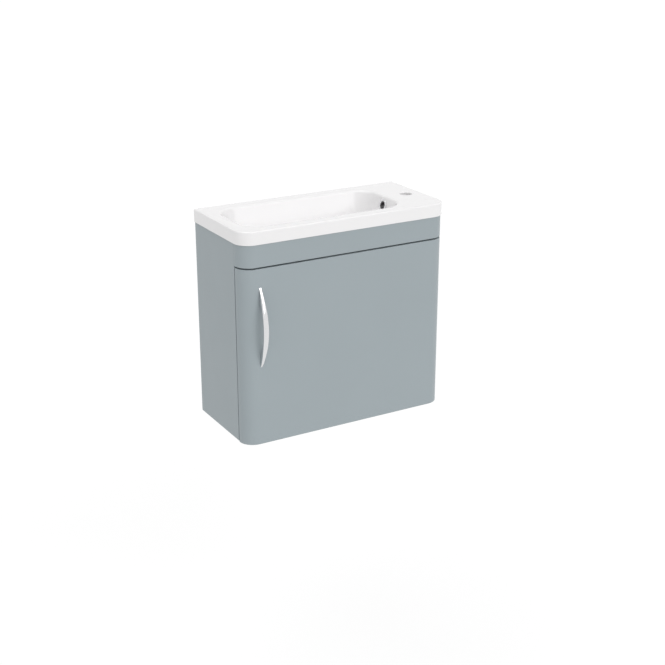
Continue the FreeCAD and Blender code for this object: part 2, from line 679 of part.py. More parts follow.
def make_door():
    """The slab door: thick stiles with rounded outer corners and a thinner middle."""
    body = body_of("door_slab")
    stile = "(half - door_stile)"
    sides = (
        ("across", "front", "corner_radius"),
        ("along", "half", None),
        ("across", "door_back", None),
        ("along", stile, None),
        ("across", "fascia_back", None),
        ("along", f"0 - {stile}", None),
        ("across", "door_back", None),
        ("along", "0 - half", "corner_radius"),
    )
    pad(body, outline(body, "door_outline", "0 - door_drop", sides), "door_block", "door_top + door_drop")
    tools = []
    for where, z in handle_levels():
        tools.append(rod(f"door_{where}_screw_hole", "y", ("handle_place", "front - cut_past", z),
                         "front_thickness + 2 * cut_past", "(handle_screw_diameter + 2 * fit_play)"))
        tools.append(rod(f"door_{where}_head_recess", "y",
                         ("handle_place", "door_back - handle_head_recess", z),
                         "handle_head_recess + cut_past", "(handle_head_diameter + 2 * fit_play)"))
    for hinge, level in HINGES:
        tools.append(rod(f"door_{hinge}_cup_bore", "y", ("cup_place", "door_back - cup_depth", level),
                         "cup_depth + cut_past", "(cup_diameter + 2 * fit_play)"))
        for where, z in ear_levels(level):
            tools.append(rod(f"door_{hinge}_{where}_ear_hole", "y",
                             ("cup_place", "door_back - wood_screw_grip", z), "wood_screw_grip + cut_past",
                             "(wood_screw_diameter + 2 * fit_play)"))
    node(cut("door", body, *tools), "door")


def handle_levels():
    return (("low", "(handle_level - handle_centres / 2)"), ("high", "(handle_level + handle_centres / 2)"))


def ear_levels(level):
    return (("low", f"({level} - ear_screw_offset)"), ("high", f"({level} + ear_screw_offset)"))


def arc_between(sketch, first, last, middle):
    """An arc through three points, given as pairs of formulas, with its ends returned in order."""
    points = [FreeCAD.Vector(value(u), value(v), 0) for u, v in (first, middle, last)]
    return sketch.addGeometry(Part.Arc(*points))


def pin_point(sketch, geometry, end, point):
    hold(sketch, "DistanceX", -1, 1, geometry, end, size=point[0])
    hold(sketch, "DistanceY", -1, 1, geometry, end, size=point[1])


def arc_radius(half_chord, rise):
    return f"(({half_chord}) ^ 2 + ({rise}) ^ 2) / (2 * ({rise}))"


def two_arc_outline(sketch, ends, bulge):
    """Close two arcs with straight ends: each arc has its two end points, its rise and its middle."""
    arcs = []
    for (first, last), (middle, half_chord, rise) in zip(ends, bulge):
        arc = arc_between(sketch, first, last, middle)
        near = (sketch.getPoint(arc, 1) - FreeCAD.Vector(value(first[0]), value(first[1]), 0)).Length < 0.01
        order = (1, 2) if near else (2, 1)
        pin_point(sketch, arc, order[0], first)
        pin_point(sketch, arc, order[1], last)
        hold(sketch, "Radius", arc, size=arc_radius(half_chord, rise))
        arcs.append((arc, order))
    (one, one_order), (two, two_order) = arcs
    for k in (0, 1):
        line = sketch.addGeometry(Part.LineSegment(sketch.getPoint(one, one_order[k]),
                                                   sketch.getPoint(two, two_order[k])))
        sketch.addConstraint(Sketcher.Constraint("Coincident", line, 1, one, one_order[k]))
        sketch.addConstraint(Sketcher.Constraint("Coincident", line, 2, two, two_order[k]))


def make_handle():
    """The crescent bow: its side view and its tapering front view, each as a block, in common."""
    side_body = body_of("handle_side_view")
    sketch = sketch_on(side_body, "handle_crescent", "YZ_Plane", "handle_place - handle_width / 2")
    tips = ("handle_level - handle_length / 2", "handle_level + handle_length / 2")
    feet = (f"{tips[0]} + handle_foot", f"{tips[1]} - handle_foot")
    ends = ((("front", tips[0]), ("front", tips[1])), (("front", feet[0]), ("front", feet[1])))
    inner_reach = "(handle_reach - handle_bow)"
    bulge = ((("front - handle_reach", "handle_level"), "handle_length / 2", "handle_reach"),
             ((f"front - {inner_reach}", "handle_level"), "handle_length / 2 - handle_foot", inner_reach))
    two_arc_outline(sketch, ends, bulge)
    pad(side_body, sketch, "handle_crescent_block", "handle_width")
    front_body = body_of("handle_front_view")
    sketch = sketch_on(front_body, "handle_taper", "XZ_Plane", "0 - front")
    left, right = around("handle_place", "handle_tip")
    ends = (((left, tips[0]), (left, tips[1])), ((right, tips[0]), (right, tips[1])))
    wide = around("handle_place", "handle_width")
    rise = "(handle_width - handle_tip) / 2"
    bulge = tuple(((edge, "handle_level"), "handle_length / 2", rise) for edge in wide)
    two_arc_outline(sketch, ends, bulge)
    pad(front_body, sketch, "handle_taper_block", "handle_reach + cut_past")
    bow = doc.addObject("Part::Common", "handle_bow_solid")
    bow.Base, bow.Tool = side_body, front_body
    front = value("front")

    def free_edge(edge):
        return edge.BoundBox.YMin < front - value("handle_edge") and edge.Length > value("handle_foot")

    rounded = round_edges("handle_rounded", bow, ((free_edge, "handle_edge"),))
    holes = [rod(f"handle_{where}_thread", "y", ("handle_place", "front - handle_screw_grip", z),
                 "handle_screw_grip + cut_past", "(handle_screw_diameter + 2 * fit_play)")
             for where, z in handle_levels()]
    node(cut("handle", rounded, *holes), "handle")


def screw(name, axis, head_at, reach, sizes, flip=False):
    """A screw of a shank and a head; with flip the head is at the far end of the axis."""
    shank_diameter, head_diameter, head_height = sizes
    index = "xyz".index(axis)

    def moved(extra):
        point = list(head_at)
        point[index] = f"{point[index]} + {extra}"
        return point

    if flip:
        shank = rod(f"{name}_shank", axis, moved(f"(0 - ({reach}))"), reach, shank_diameter)
        head = rod(f"{name}_head", axis, head_at, head_height, head_diameter)
    else:
        shank = rod(f"{name}_shank", axis, head_at, reach, shank_diameter)
        head = rod(f"{name}_head", axis, moved(f"(0 - {head_height})"), head_height, head_diameter)
    return fuse(name, shank, head)


WOOD_SCREW = ("wood_screw_diameter", "wood_head_diameter", "wood_head_height")
FLAT_SCREW = ("wood_screw_diameter", "wood_head_diameter", "(door_seam - ear_thickness) / 2")


def make_door_fittings():
    sizes = ("handle_screw_diameter", "handle_head_diameter", "handle_head_height")
    group("handle_screws", [
        screw(f"handle_{where}_screw", "y", ("handle_place", "door_back - handle_head_recess", z),
              "(front_thickness - handle_head_recess + handle_screw_grip)", sizes, flip=True)
        for where, z in handle_levels()])
    ends = (("low", "buffer_margin"), ("high", "(door_top - buffer_margin)"))
    group("door_buffers", [
        rod(f"{where}_buffer", "y", (f"(0 - {PEG_PLACE})", "door_back", z), "door_seam - buffer_play",
            "buffer_diameter") for where, z in ends])


def make_hinge_cup(hinge, level):
    """The cup in the door, with two ears on the door and two lugs for the pin."""
    name = f"{hinge}_hinge_cup"
    shell = rod(f"{name}_shell", "y", ("cup_place", "door_back - cup_depth", level), "cup_depth",
                "cup_diameter")
    mouth = rod(f"{name}_mouth", "y", ("cup_place", "door_back - cup_depth + cup_wall", level),
                "cup_depth + ear_thickness", "(cup_diameter - 2 * cup_wall)")
    ears = box(f"{name}_ears", around("cup_place", "ear_width"),
               ("door_back", "(door_back + ear_thickness)"),
               around(level, "(2 * ear_reach)"))
    lugs, pin_holes = [], []
    for sign, where in ((-1, "low"), (1, "high")):
        middle = f"({level} + {sign} * (lug_inner + lug_thickness / 2))"
        lugs.append(box(f"{name}_{where}_lug", around("pivot_place", "lug_size"),
                        ("(door_back - cup_depth)", "(pivot_front + lug_past_pin)"),
                        around(middle, "lug_thickness")))
        pin_holes.append(rod(f"{name}_{where}_ear_hole", "y", ("cup_place", "door_back - cut_past",
                             ear_levels(level)[0 if sign < 0 else 1][1]), "ear_thickness + 2 * cut_past",
                             "(wood_screw_diameter + 2 * fit_play)"))
    start = ("pivot_place", "pivot_front", f"{level} - cup_diameter / 2")
    pin_holes.append(rod(f"{name}_pin_hole", "z", start, "cup_diameter", "(pin_diameter + 2 * fit_play)"))
    start = ("cup_place", "door_back - cup_depth", level)
    trim = rod(f"{name}_trim", "y", start, "cup_depth", "cup_diameter")
    inside = doc.addObject("Part::MultiCommon", f"{name}_lugs_inside")
    inside.Shapes = [fuse(f"{name}_lugs", *lugs), trim]
    hollow = cut(f"{name}_hollow", fuse(f"{name}_outer", shell, ears), mouth)
    node(cut(name, fuse(f"{name}_whole", hollow, inside), *pin_holes), name)


def make_hinge_pin(hinge, level):
    reach = "(2 * (lug_inner + lug_thickness))"
    start = ("pivot_place", "pivot_front", f"{level} - {reach} / 2")
    node(rod(f"{hinge}_hinge_pin", "z", start, reach, "pin_diameter"), f"{hinge}_hinge_pin")


def make_hinge_link(hinge, level):
    """The gooseneck link: an eye on the pin, a slanted neck out of the cup and a straight tail."""
    name = f"{hinge}_hinge_link"
    low = f"({level} - link_width / 2)"
    eye = rod(f"{name}_eye", "z", ("pivot_place", "pivot_front", low), "link_width", "link_eye_diameter")
    neck = doc.addObject("Part::Box", f"{name}_neck")
    neck.Placement.Rotation = FreeCAD.Rotation(FreeCAD.Vector(0, 0, 1), 90)
    bind(neck, Length="link_neck", Width="link_thickness", Height="link_width",
         Placement__Rotation__Angle="180 - link_slant")
    place(neck, "pivot_place + link_thickness / 2 * sin(link_slant * 1 deg)",
          "pivot_front + link_thickness / 2 * cos(link_slant * 1 deg)", low)
    knee = rod(f"{name}_knee", "z", ("tail_place", "tail_front", low), "link_width", "link_thickness")
    tail = box(f"{name}_tail", around("tail_place", "link_thickness"),
               ("tail_front", "(tail_front + link_tail)"), around(level, "link_width"))
    bore = rod(f"{name}_bore", "z", ("pivot_place", "pivot_front", f"{low} - cut_past"),
               "link_width + 2 * cut_past", "(pin_diameter + 2 * pin_play)")
    node(cut(name, fuse(f"{name}_solid", eye, neck, knee, tail), bore), name)


ADJUSTERS = (("front", "(arm_front + arm_channel + adjuster_diameter)"),
             ("rear", "(arm_front + arm_channel + adjuster_diameter + adjuster_pitch)"))
ARM_FACE = "(tail_place - arm_half)"
ARM_SEAT = "(tail_place + arm_half)"


def make_hinge_arm(hinge, level):
    """The arm on its plate, with the channel that the link's tail slides in."""
    name = f"{hinge}_hinge_arm"
    bar = box(f"{name}_bar", (ARM_FACE, ARM_SEAT), ("arm_front", "(arm_front + arm_length)"),
              around(level, "(2 * arm_depth_half)"))
    channel = box(f"{name}_channel", around("tail_place", "(link_thickness + 2 * slide_play)"),
                  ("(arm_front - cut_past)", "(arm_front + arm_channel)"),
                  around(level, "(link_width + 2 * slide_play)"))
    seats = [rod(f"{name}_{where}_seat", "x", (f"{ARM_FACE} - cut_past", y, level),
                 "adjuster_grip + cut_past", "(adjuster_diameter + 2 * fit_play)")
             for where, y in ADJUSTERS]
    node(cut(name, bar, channel, *seats), name)


def make_hinge_plate(hinge, level):
    """The mounting plate on the side panel: two screwed wings and the bed under the arm."""
    name = f"{hinge}_hinge_plate"
    wings = box(f"{name}_wings", ("(inner - plate_base)", "inner"),
                around("plate_middle", "plate_wing_width"), around(level, "(2 * plate_wing)"))
    bed = box(f"{name}_bed", (ARM_SEAT, "inner"), around("plate_middle", "plate_length"),
              around(level, "plate_width"))
    holes = [rod(f"{name}_{where}_hole", "x", ("inner - plate_base - cut_past", "plate_middle",
                 f"{level} + {sign} * plate_screw_offset"), "plate_base + 2 * cut_past",
                 "(wood_screw_diameter + 2 * fit_play)") for sign, where in ((-1, "low"), (1, "high"))]
    node(cut(name, fuse(f"{name}_solid", wings, bed), *holes), name)


def make_hinges():
    cup_screws, plate_screws, adjusters = [], [], []
    for hinge, level in HINGES:
        make_hinge_cup(hinge, level)
        make_hinge_pin(hinge, level)
        make_hinge_link(hinge, level)
        make_hinge_arm(hinge, level)
        make_hinge_plate(hinge, level)
        for where, z in ear_levels(level):
            cup_screws.append(screw(f"{hinge}_{where}_cup_screw", "y",
                                    ("cup_place", "(door_back + ear_thickness)", z),
                                    "(wood_screw_grip + ear_thickness)",
                                    FLAT_SCREW, flip=True))
        for sign, where in ((-1, "low"), (1, "high")):
            plate_screws.append(screw(f"{hinge}_{where}_plate_screw", "x",
                                      ("(inner - plate_base)", "plate_middle",
                                       f"({level} + {sign} * plate_screw_offset)"),
                                      "(plate_base + wood_screw_grip)", WOOD_SCREW))
        for where, y in ADJUSTERS:
            adjusters.append(rod(f"{hinge}_{where}_adjuster", "x",
                                 (f"{ARM_FACE} - adjuster_proud", y, level),
                                 "adjuster_grip + adjuster_proud",
                                 "adjuster_diameter"))
    group("hinge_cup_screws", cup_screws)
    group("hinge_plate_screws", plate_screws)
    group("hinge_adjusters", adjusters)


def make_carcass_fixings():
    """Cam locks with their bolts and covers, and the dowels."""
    cams, bolts, covers, dowels, pegs = [], [], [], [], []
    for side, word in SIDES:
        for where, y, z in CAMS:
            name = f"{word}_{where}_cam"
            drum = cam_rod(f"{name}_drum", side, where, y, "0", "cam_diameter", "cam_height")
            slot = cross_rod(f"{name}_slot", side, "(cam_place - bolt_head_height)",
                             "(cam_place + cam_diameter)", y, z, "(bolt_head_diameter + 2 * fit_play)")
            cams.append(cut(name, drum, slot))
            thread = cross_rod(f"{name}_bolt_thread", side, "inner", "(inner + bolt_thread_grip)", y, z,
                               "bolt_thread_diameter")
            shaft = cross_rod(f"{name}_bolt_shaft", side, "cam_place", "inner", y, z, "bolt_diameter")
            head = cross_rod(f"{name}_bolt_head", side, "(cam_place - bolt_head_height)", "cam_place", y, z,
                             "bolt_head_diameter")
            bolts.append(fuse(f"{name}_bolt", thread, shaft, head))
            covers.append(cam_rod(f"{name}_cover", side, where, y, "cam_cover_height", "cam_cover_diameter",
                                  "cam_cover_height"))
        for where, y, z in DOWELS:
            dowels.append(cross_rod(f"{word}_{where}_dowel", side, "(inner + dowel_grip - dowel_length)",
                                    "(inner + dowel_grip)", y, z, "dowel_diameter"))
        for where, z in PEGS:
            pegs.append(rod(f"{word}_{where}_peg", "y",
                            (mirrored(side, PEG_PLACE), "side_front - peg_length / 2", z), "peg_length",
                            "peg_diameter"))
    group("cam_locks", cams)
    group("cam_bolts", bolts)
    group("cam_covers", covers)
    group("panel_dowels", dowels)
    group("fascia_dowels", pegs)


HANGER_ADJUSTERS = (("high", "(hook_top - adjuster_diameter)"),
                    ("low", "(hook_top - hook_block_height + adjuster_diameter)"))


def make_hangers():
    """A hanger in each rear corner: housing, hook, adjusting screws, and the plate on the wall."""
    adjusters, screws = [], []
    for side, word in SIDES:
        name = f"{word}_hanger"
        shell = box(f"{name}_shell", span(side, "hanger_inner", "inner"), ("hanger_front", "back_front"),
                    ("hanger_low", "hanger_top"))
        cavity = box(f"{name}_cavity", span(side, "(hanger_inner + hanger_wall)", "(inner - hanger_wall)"),
                     ("(hanger_front + hanger_wall)", "(back_front + cut_past)"),
                     ("(hanger_low + hanger_wall)", "(hanger_top - hanger_wall)"))
        tools = [cavity]
        for where, z in HANGER_ADJUSTERS:
            start = (mirrored(side, "hook_place"), "hanger_front - cut_past", z)
            tools.append(rod(f"{name}_{where}_adjuster_hole", "y", start, "hanger_wall + 2 * cut_past",
                             "(adjuster_diameter + 2 * fit_play)"))
            start = (mirrored(side, "hook_place"), "hanger_front - adjuster_proud", z)
            adjusters.append(rod(f"{name}_{where}_adjuster", "y", start,
                                 "adjuster_proud + hanger_wall + hanger_play", "adjuster_diameter"))
        for where, z in HANGER_SCREWS:
            tools.append(cross_rod(f"{name}_{where}_screw_hole", side, "(inner - hanger_wall - cut_past)",
                                   "(inner + cut_past)", HANGER_SCREW_DEPTH, z,
                                   "(wood_screw_diameter + 2 * fit_play)"))
            head = mirrored(side, "(inner - hanger_wall)")
            screws.append(screw(f"{name}_{where}_screw", "x", (head, HANGER_SCREW_DEPTH, z),
                                "(hanger_wall + wood_screw_grip)", WOOD_SCREW, flip=side < 0))
        node(cut(f"{name}_housing", shell, *tools), f"{name}_housing")
        make_hook(side, word)
        make_wall_plate(side, word)
    group("hanger_adjusters", adjusters)
    group("hanger_screws", screws)


def make_hook(side, word):
    name = f"{word}_hanger_hook"
    across = span(side, "(hook_place - hook_width / 2)", "(hook_place + hook_width / 2)")
    block_front = "(hanger_front + hanger_wall + hanger_play)"
    tip_rear = "(hook_tip - lip_gap) / 2"
    block = box(f"{name}_block", across, (block_front, f"({block_front} + hook_block)"),
                ("(hook_top - hook_block_height)", "hook_top"))
    arm = box(f"{name}_arm", across, (block_front, tip_rear), ("hook_under", "hook_top"))
    tip = box(f"{name}_tip", across, (f"({tip_rear} - hook_tip)", tip_rear),
              ("(hook_under - hook_drop)", "hook_top"))
    node(fuse(name, block, arm, tip), name)


def make_wall_plate(side, word):
    """The wall plate: a screwed base, a step and an upright lip that the hook drops over."""
    name = f"{word}_wall_plate"
    across = span(side, "(plate_place - plate_span / 2)", "(plate_place + plate_span / 2)")
    lip_rear = "(0 - lip_gap)"
    lip_front = "(0 - lip_gap - plate_thickness)"
    base = box(f"{name}_base", across, ("(0 - plate_thickness)", "0"), ("plate_low", "step_top"))
    step = box(f"{name}_step", across, (lip_front, "0"), ("(step_top - plate_thickness)", "step_top"))
    lip = box(f"{name}_lip", across, (lip_front, lip_rear), ("(step_top - plate_thickness)", "lip_top"))
    holes = [rod(f"{name}_{where}_hole", "y",
                 (mirrored(side, "plate_place"), "0 - plate_thickness - cut_past", z),
                 "plate_thickness + 2 * cut_past", "wall_hole_diameter")
             for where, z in (("low", "hole_low"), ("high", "(hole_low + wall_hole_pitch)"))]
    node(cut(name, fuse(f"{name}_solid", base, step, lip), *holes), name)


make_basin()
make_overflow_ring()
make_side_panels()
make_cross_panels()
make_back_panel()
make_fascia()
make_carcass_fixings()
make_door()
make_handle()
make_door_fittings()
make_hinges()
make_hangers()
doc.recompute()

for item in doc.Objects:
    if "Invalid" in item.State or "Error" in item.State:
        raise RuntimeError(f"{item.Label} failed: {item.State}")
for item in NODES:
    if item.Shape.isNull() or not item.Shape.isValid() or not item.Shape.Solids:
        raise RuntimeError(f"{item.Label} has no valid solid")

os.makedirs("parts", exist_ok=True)
for item in NODES:
    item.Shape.exportStep(f"parts/{item.Label}.step")
    print(item.Label, len(item.Shape.Solids), round(item.Shape.Volume, 1))
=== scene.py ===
"""Looks of a wall-hung cloakroom vanity unit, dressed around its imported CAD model.

Everything is in the row frame: metres, +Z up, the front towards -Y, the wall plane at y = 0.
"""

import logging
import math
from dataclasses import dataclass, field
from enum import Enum
from itertools import cycle
from typing import Callable, Mapping, Optional, Sequence, Union

import bmesh
import bpy
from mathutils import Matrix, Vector


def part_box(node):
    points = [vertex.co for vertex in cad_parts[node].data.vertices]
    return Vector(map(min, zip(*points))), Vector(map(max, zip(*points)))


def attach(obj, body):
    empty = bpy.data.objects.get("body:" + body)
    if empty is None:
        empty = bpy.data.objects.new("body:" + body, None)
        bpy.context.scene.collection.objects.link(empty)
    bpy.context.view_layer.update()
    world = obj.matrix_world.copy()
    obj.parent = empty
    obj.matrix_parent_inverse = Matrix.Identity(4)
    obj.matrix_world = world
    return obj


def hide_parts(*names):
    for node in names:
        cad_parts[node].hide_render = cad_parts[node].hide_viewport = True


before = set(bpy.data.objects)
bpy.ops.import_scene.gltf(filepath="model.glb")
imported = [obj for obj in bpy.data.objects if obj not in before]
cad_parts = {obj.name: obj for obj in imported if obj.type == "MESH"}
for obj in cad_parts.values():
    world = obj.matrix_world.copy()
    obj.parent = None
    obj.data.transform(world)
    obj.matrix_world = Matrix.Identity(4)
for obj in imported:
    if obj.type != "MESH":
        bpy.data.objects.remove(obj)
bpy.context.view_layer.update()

MILLIMETRE = 0.001
WELD = 0.002 * MILLIMETRE
SHARP_ANGLE = math.radians(35)
TOUCHING = 0.05 * MILLIMETRE
FACING = 0.9
Y_AXIS, Z_AXIS = 1, 2
LOG = logging.getLogger("vanity_unit")

Point = tuple[float, float, float]
Colour = tuple[float, float, float, float]
Links = Mapping[Union[int, str], object]
Sizes = Mapping[str, float]
Edge = bmesh.types.BMEdge
Face = bpy.types.MeshPolygon
Material = bpy.types.Material
Piece = bpy.types.Object

UP: Point = (0.0, 0.0, 1.0)
TO_LEFT: Point = (-1.0, 0.0, 0.0)
TO_FRONT: Point = (0.0, -1.0, 0.0)
TO_WALL: Point = (0.0, 1.0, 0.0)


class Body(Enum):
    """The moving bodies of the CAD model."""

    CARCASS = "carcass"
    LINKS = "hinge_links"
    DOOR = "door"


class Side(Enum):
    """Left and right of the unit, as the sign of x."""

    LEFT = -1
    RIGHT = 1


class Value:
    """A node's output socket that takes part in Python arithmetic."""

    def __init__(self, graph: "Graph", socket: Optional[bpy.types.NodeSocket]) -> None:
        """Keep the graph that new nodes go to, and the socket."""
        self.graph = graph
        self.socket = socket

    def then(self, operation: str, *terms: object) -> "Value":
        """The result of one Math node for this value and other terms."""
        links = dict(enumerate((self, *terms)))
        return self.graph.node("ShaderNodeMath", links, operation=operation)

    def __add__(self, other: object) -> "Value":
        """self + other."""
        return self.then("ADD", other)

    def __sub__(self, other: object) -> "Value":
        """self - other."""
        return self.then("SUBTRACT", other)

    def __mul__(self, other: object) -> "Value":
        """self * other."""
        return self.then("MULTIPLY", other)

    def __truediv__(self, other: object) -> "Value":
        """self / other."""
        return self.then("DIVIDE", other)

    def __pow__(self, other: object) -> "Value":
        """self to the power of other."""
        return self.then("POWER", other)

    def at_least(self, low: object) -> "Value":
        """The larger of this and another value."""
        return self.then("MAXIMUM", low)

    def at_most(self, high: object) -> "Value":
        """The smaller of this and another value."""
        return self.then("MINIMUM", high)

    __radd__ = __add__
    __rmul__ = __mul__


class Graph:
    """A shader or geometry node tree and the one method that adds nodes to it."""

    def __init__(self, tree: bpy.types.NodeTree) -> None:
        """Start from an empty tree."""
        self.tree = tree
        tree.nodes.clear()

    def node(self, kind: str, links: Optional[Links] = None, output: Union[int, str] = 0,
             **settings: object) -> Value:
        """Add a node of any type.

        Args:
            kind: The node's type name.
            links: Values or constants for the input sockets, by name or number.
            output: The output socket to return, by name or number.
            settings: The node's properties, which are set first.

        Returns:
            The output, or an empty value where the node has none.
        """
        made = self.tree.nodes.new(kind)
        for name, setting in settings.items():
            setattr(made, name, setting)
        for key, term in (links or {}).items():
            if isinstance(term, Value):
                self.tree.links.new(term.socket, made.inputs[key])
            else:
                made.inputs[key].default_value = term
        return Value(self, made.outputs[output] if made.outputs else None)


class Shader(Graph):
    """A material's tree, with the patterns and mixes that finishes are made of."""

    def __init__(self, tree: bpy.types.NodeTree) -> None:
        """Start from object coordinates, in metres."""
        super().__init__(tree)
        self.point = self.node("ShaderNodeTexCoord", output="Object")

    def noise(self, scale: float, detail: float = 2.0, rough: float = 0.5,
              drawn: Optional[Point] = None) -> Value:
        """Noise from about 0.2 to 0.8.

        Args:
            scale: Waves per metre.
            detail: Octaves of finer noise.
            rough: How strong the finer octaves are.
            drawn: A scale for each axis, which draws the pattern out along the small ones.

        Returns:
            The noise.
        """
        point = self.point
        if drawn:
            point = self.node("ShaderNodeMapping", {"Vector": point, "Scale": drawn})
        return self.node("ShaderNodeTexNoise", {"Vector": point, "Scale": scale, "Detail": detail,
                                                "Roughness": rough}, "Fac")

    def blend(self, share: Value, first: object, second: object) -> Value:
        """A colour that goes from the first to the second as the share goes from 0 to 1."""
        return self.node("ShaderNodeMix", {0: share, 6: first, 7: second}, 2, data_type="RGBA")

    def bump(self, height: Value, distance: float, strength: float = 1.0) -> Value:
        """A normal that follows heights from 0 to 1, where 1 stands for a distance in metres."""
        return self.node("ShaderNodeBump", {"Strength": strength, "Distance": distance,
                                            "Height": height})


def shade_of(red: float, green: float, blue: float) -> Colour:
    """A colour with full alpha."""
    return red, green, blue, 1.0


def scaled(colour: Colour, share: float) -> Colour:
    """A colour made lighter or darker."""
    return shade_of(*(part * share for part in colour[:3]))


WHITE = shade_of(1.0, 1.0, 1.0)


@dataclass(frozen=True)
class Finish:
    """What all finishes share: a name, a colour, and a material made from their shader."""

    name: str
    colour: Colour

    def mottled(self, graph: Shader, pattern: Value, low: float, high: float) -> Value:
        """The colour times a share that a pattern moves from low to high."""
        return graph.blend(pattern, scaled(self.colour, low), scaled(self.colour, high))

    def sockets(self, graph: Shader) -> Links:
        """The Principled shader's inputs, by socket name."""
        raise NotImplementedError

    def material(self) -> Material:
        """Make the material.

        Returns:
            A new material with this finish.
        """
        made = bpy.data.materials.new(self.name)
        made.use_nodes = True
        graph = Shader(made.node_tree)
        shader = graph.node("ShaderNodeBsdfPrincipled", self.sockets(graph))
        graph.node("ShaderNodeOutputMaterial", {"Surface": shader})
        return made


@dataclass(frozen=True)
class SatinFoil(Finish):
    """Vinyl foil pressed over board: even grey, with a fine orange peel and a soft sheen."""

    name: str = "satin_foil"
    colour: Colour = shade_of(0.356, 0.406, 0.428)
    peel_per_metre: float = 620.0
    peel_height: float = 0.05 * MILLIMETRE

    def sockets(self, graph: Shader) -> Links:
        """Colour drift over a hand's width, fine peel, and a sheen that varies with handling.

        Args:
            graph: The tree.

        Returns:
            The shader's inputs.
        """
        drift = graph.noise(7.0, 3.0)
        peel = graph.noise(self.peel_per_metre, 2.0, 0.45)
        touch = graph.noise(23.0, 4.0, 0.6)
        return {
            "Base Color": self.mottled(graph, drift, 0.975, 1.025),
            "Roughness": 0.30 + 0.12 * touch,
            "Specular IOR Level": 0.25,
            "Normal": graph.bump(peel, self.peel_height),
        }


@dataclass(frozen=True)
class WhiteGlaze(Finish):
    """Glazed vitreous china: white, glassy, with the slow waves of a fired glaze."""

    name: str = "white_glaze"
    colour: Colour = shade_of(0.888, 0.880, 0.884)

    def sockets(self, graph: Shader) -> Links:
        """Cloudy whiteness, slow waves in the glaze and a few finer ripples.

        Args:
            graph: The tree.

        Returns:
            The shader's inputs.
        """
        cloud = graph.noise(11.0, 3.0)
        waves = graph.noise(26.0, 1.0)
        ripple = graph.noise(190.0, 1.0)
        return {
            "Base Color": self.mottled(graph, cloud, 0.985, 1.015),
            "Roughness": 0.10 + 0.06 * cloud,
            "Coat Weight": 0.20,
            "Coat Roughness": 0.03,
            "Normal": graph.bump(waves + 0.05 * ripple, 0.3 * MILLIMETRE, 0.5),
        }


@dataclass(frozen=True)
class BareChina(Finish):
    """The unglazed back and underside of the basin: chalky, with fine grog specks."""

    name: str = "bare_china"
    colour: Colour = shade_of(0.70, 0.665, 0.605)

    def sockets(self, graph: Shader) -> Links:
        """Chalky colour with specks and a sandy surface.

        Args:
            graph: The tree.

        Returns:
            The shader's inputs.
        """
        grain = graph.noise(900.0, 3.0, 0.7)
        cloud = graph.noise(18.0, 3.0)
        speck = graph.node("ShaderNodeMapRange", {"Value": grain, "From Min": 0.66, "From Max": 0.72})
        chalk = self.mottled(graph, cloud, 0.94, 1.05)
        return {
            "Base Color": graph.blend(speck * 0.35, chalk, shade_of(0.38, 0.31, 0.24)),
            "Roughness": 0.82 + 0.1 * cloud,
            "Normal": graph.bump(grain, 0.12 * MILLIMETRE),
        }


@dataclass(frozen=True)
class PolishedChrome(Finish):
    """Bright chrome plate with faint polishing waves and finger marks."""

    name: str = "polished_chrome"
    colour: Colour = shade_of(0.72, 0.725, 0.735)

    def sockets(self, graph: Shader) -> Links:
        """A mirror whose sharpness varies a little.

        Args:
            graph: The tree.

        Returns:
            The shader's inputs.
        """
        smear = graph.noise(160.0, 4.0, 0.65, (1.0, 1.0, 0.35))
        waves = graph.noise(240.0, 1.0)
        return {
            "Base Color": self.mottled(graph, smear, 0.95, 1.04),
            "Metallic": 1.0,
            "Roughness": 0.05 + 0.10 * smear ** 2.0,
            "Normal": graph.bump(waves, 0.04 * MILLIMETRE, 0.4),
        }


@dataclass(frozen=True)
class PlatedMetal(Finish):
    """Pressed or cast metal under a thin plate, drawn along one direction."""

    name: str = "nickel_plate"
    colour: Colour = shade_of(0.62, 0.61, 0.585)
    sheen: float = 0.22
    drawn: Point = (1.0, 0.06, 1.0)
    grain_per_metre: float = 1500.0

    def sockets(self, graph: Shader) -> Links:
        """Fine draw lines, and clouds in the plate.

        Args:
            graph: The tree.

        Returns:
            The shader's inputs.
        """
        lines = graph.noise(self.grain_per_metre, 2.0, 0.6, self.drawn)
        cloud = graph.noise(85.0, 3.0, 0.6)
        return {
            "Base Color": self.mottled(graph, cloud, 0.88, 1.10),
            "Metallic": 1.0,
            "Roughness": self.sheen + 0.16 * lines + 0.10 * cloud,
            "Normal": graph.bump(lines, 0.015 * MILLIMETRE),
        }


@dataclass(frozen=True)
class Spangle(Finish):
    """Zinc with the crystal flowers of a hot dip."""

    name: str = "zinc_spangle"
    colour: Colour = shade_of(0.58, 0.60, 0.62)
    flowers_per_metre: float = 210.0

    def sockets(self, graph: Shader) -> Links:
        """Each crystal has its own grey and its own sheen.

        Args:
            graph: The tree.

        Returns:
            The shader's inputs.
        """
        flower = graph.node("ShaderNodeTexVoronoi",
                            {"Vector": graph.point, "Scale": self.flowers_per_metre}, "Color")
        tone = graph.node("ShaderNodeSeparateColor", {"Color": flower}, "Red")
        grain = graph.noise(1300.0, 2.0)
        return {
            "Base Color": self.mottled(graph, tone, 0.80, 1.12),
            "Metallic": 1.0,
            "Roughness": 0.30 + 0.20 * tone + 0.06 * grain,
            "Normal": graph.bump(grain, 0.012 * MILLIMETRE),
        }


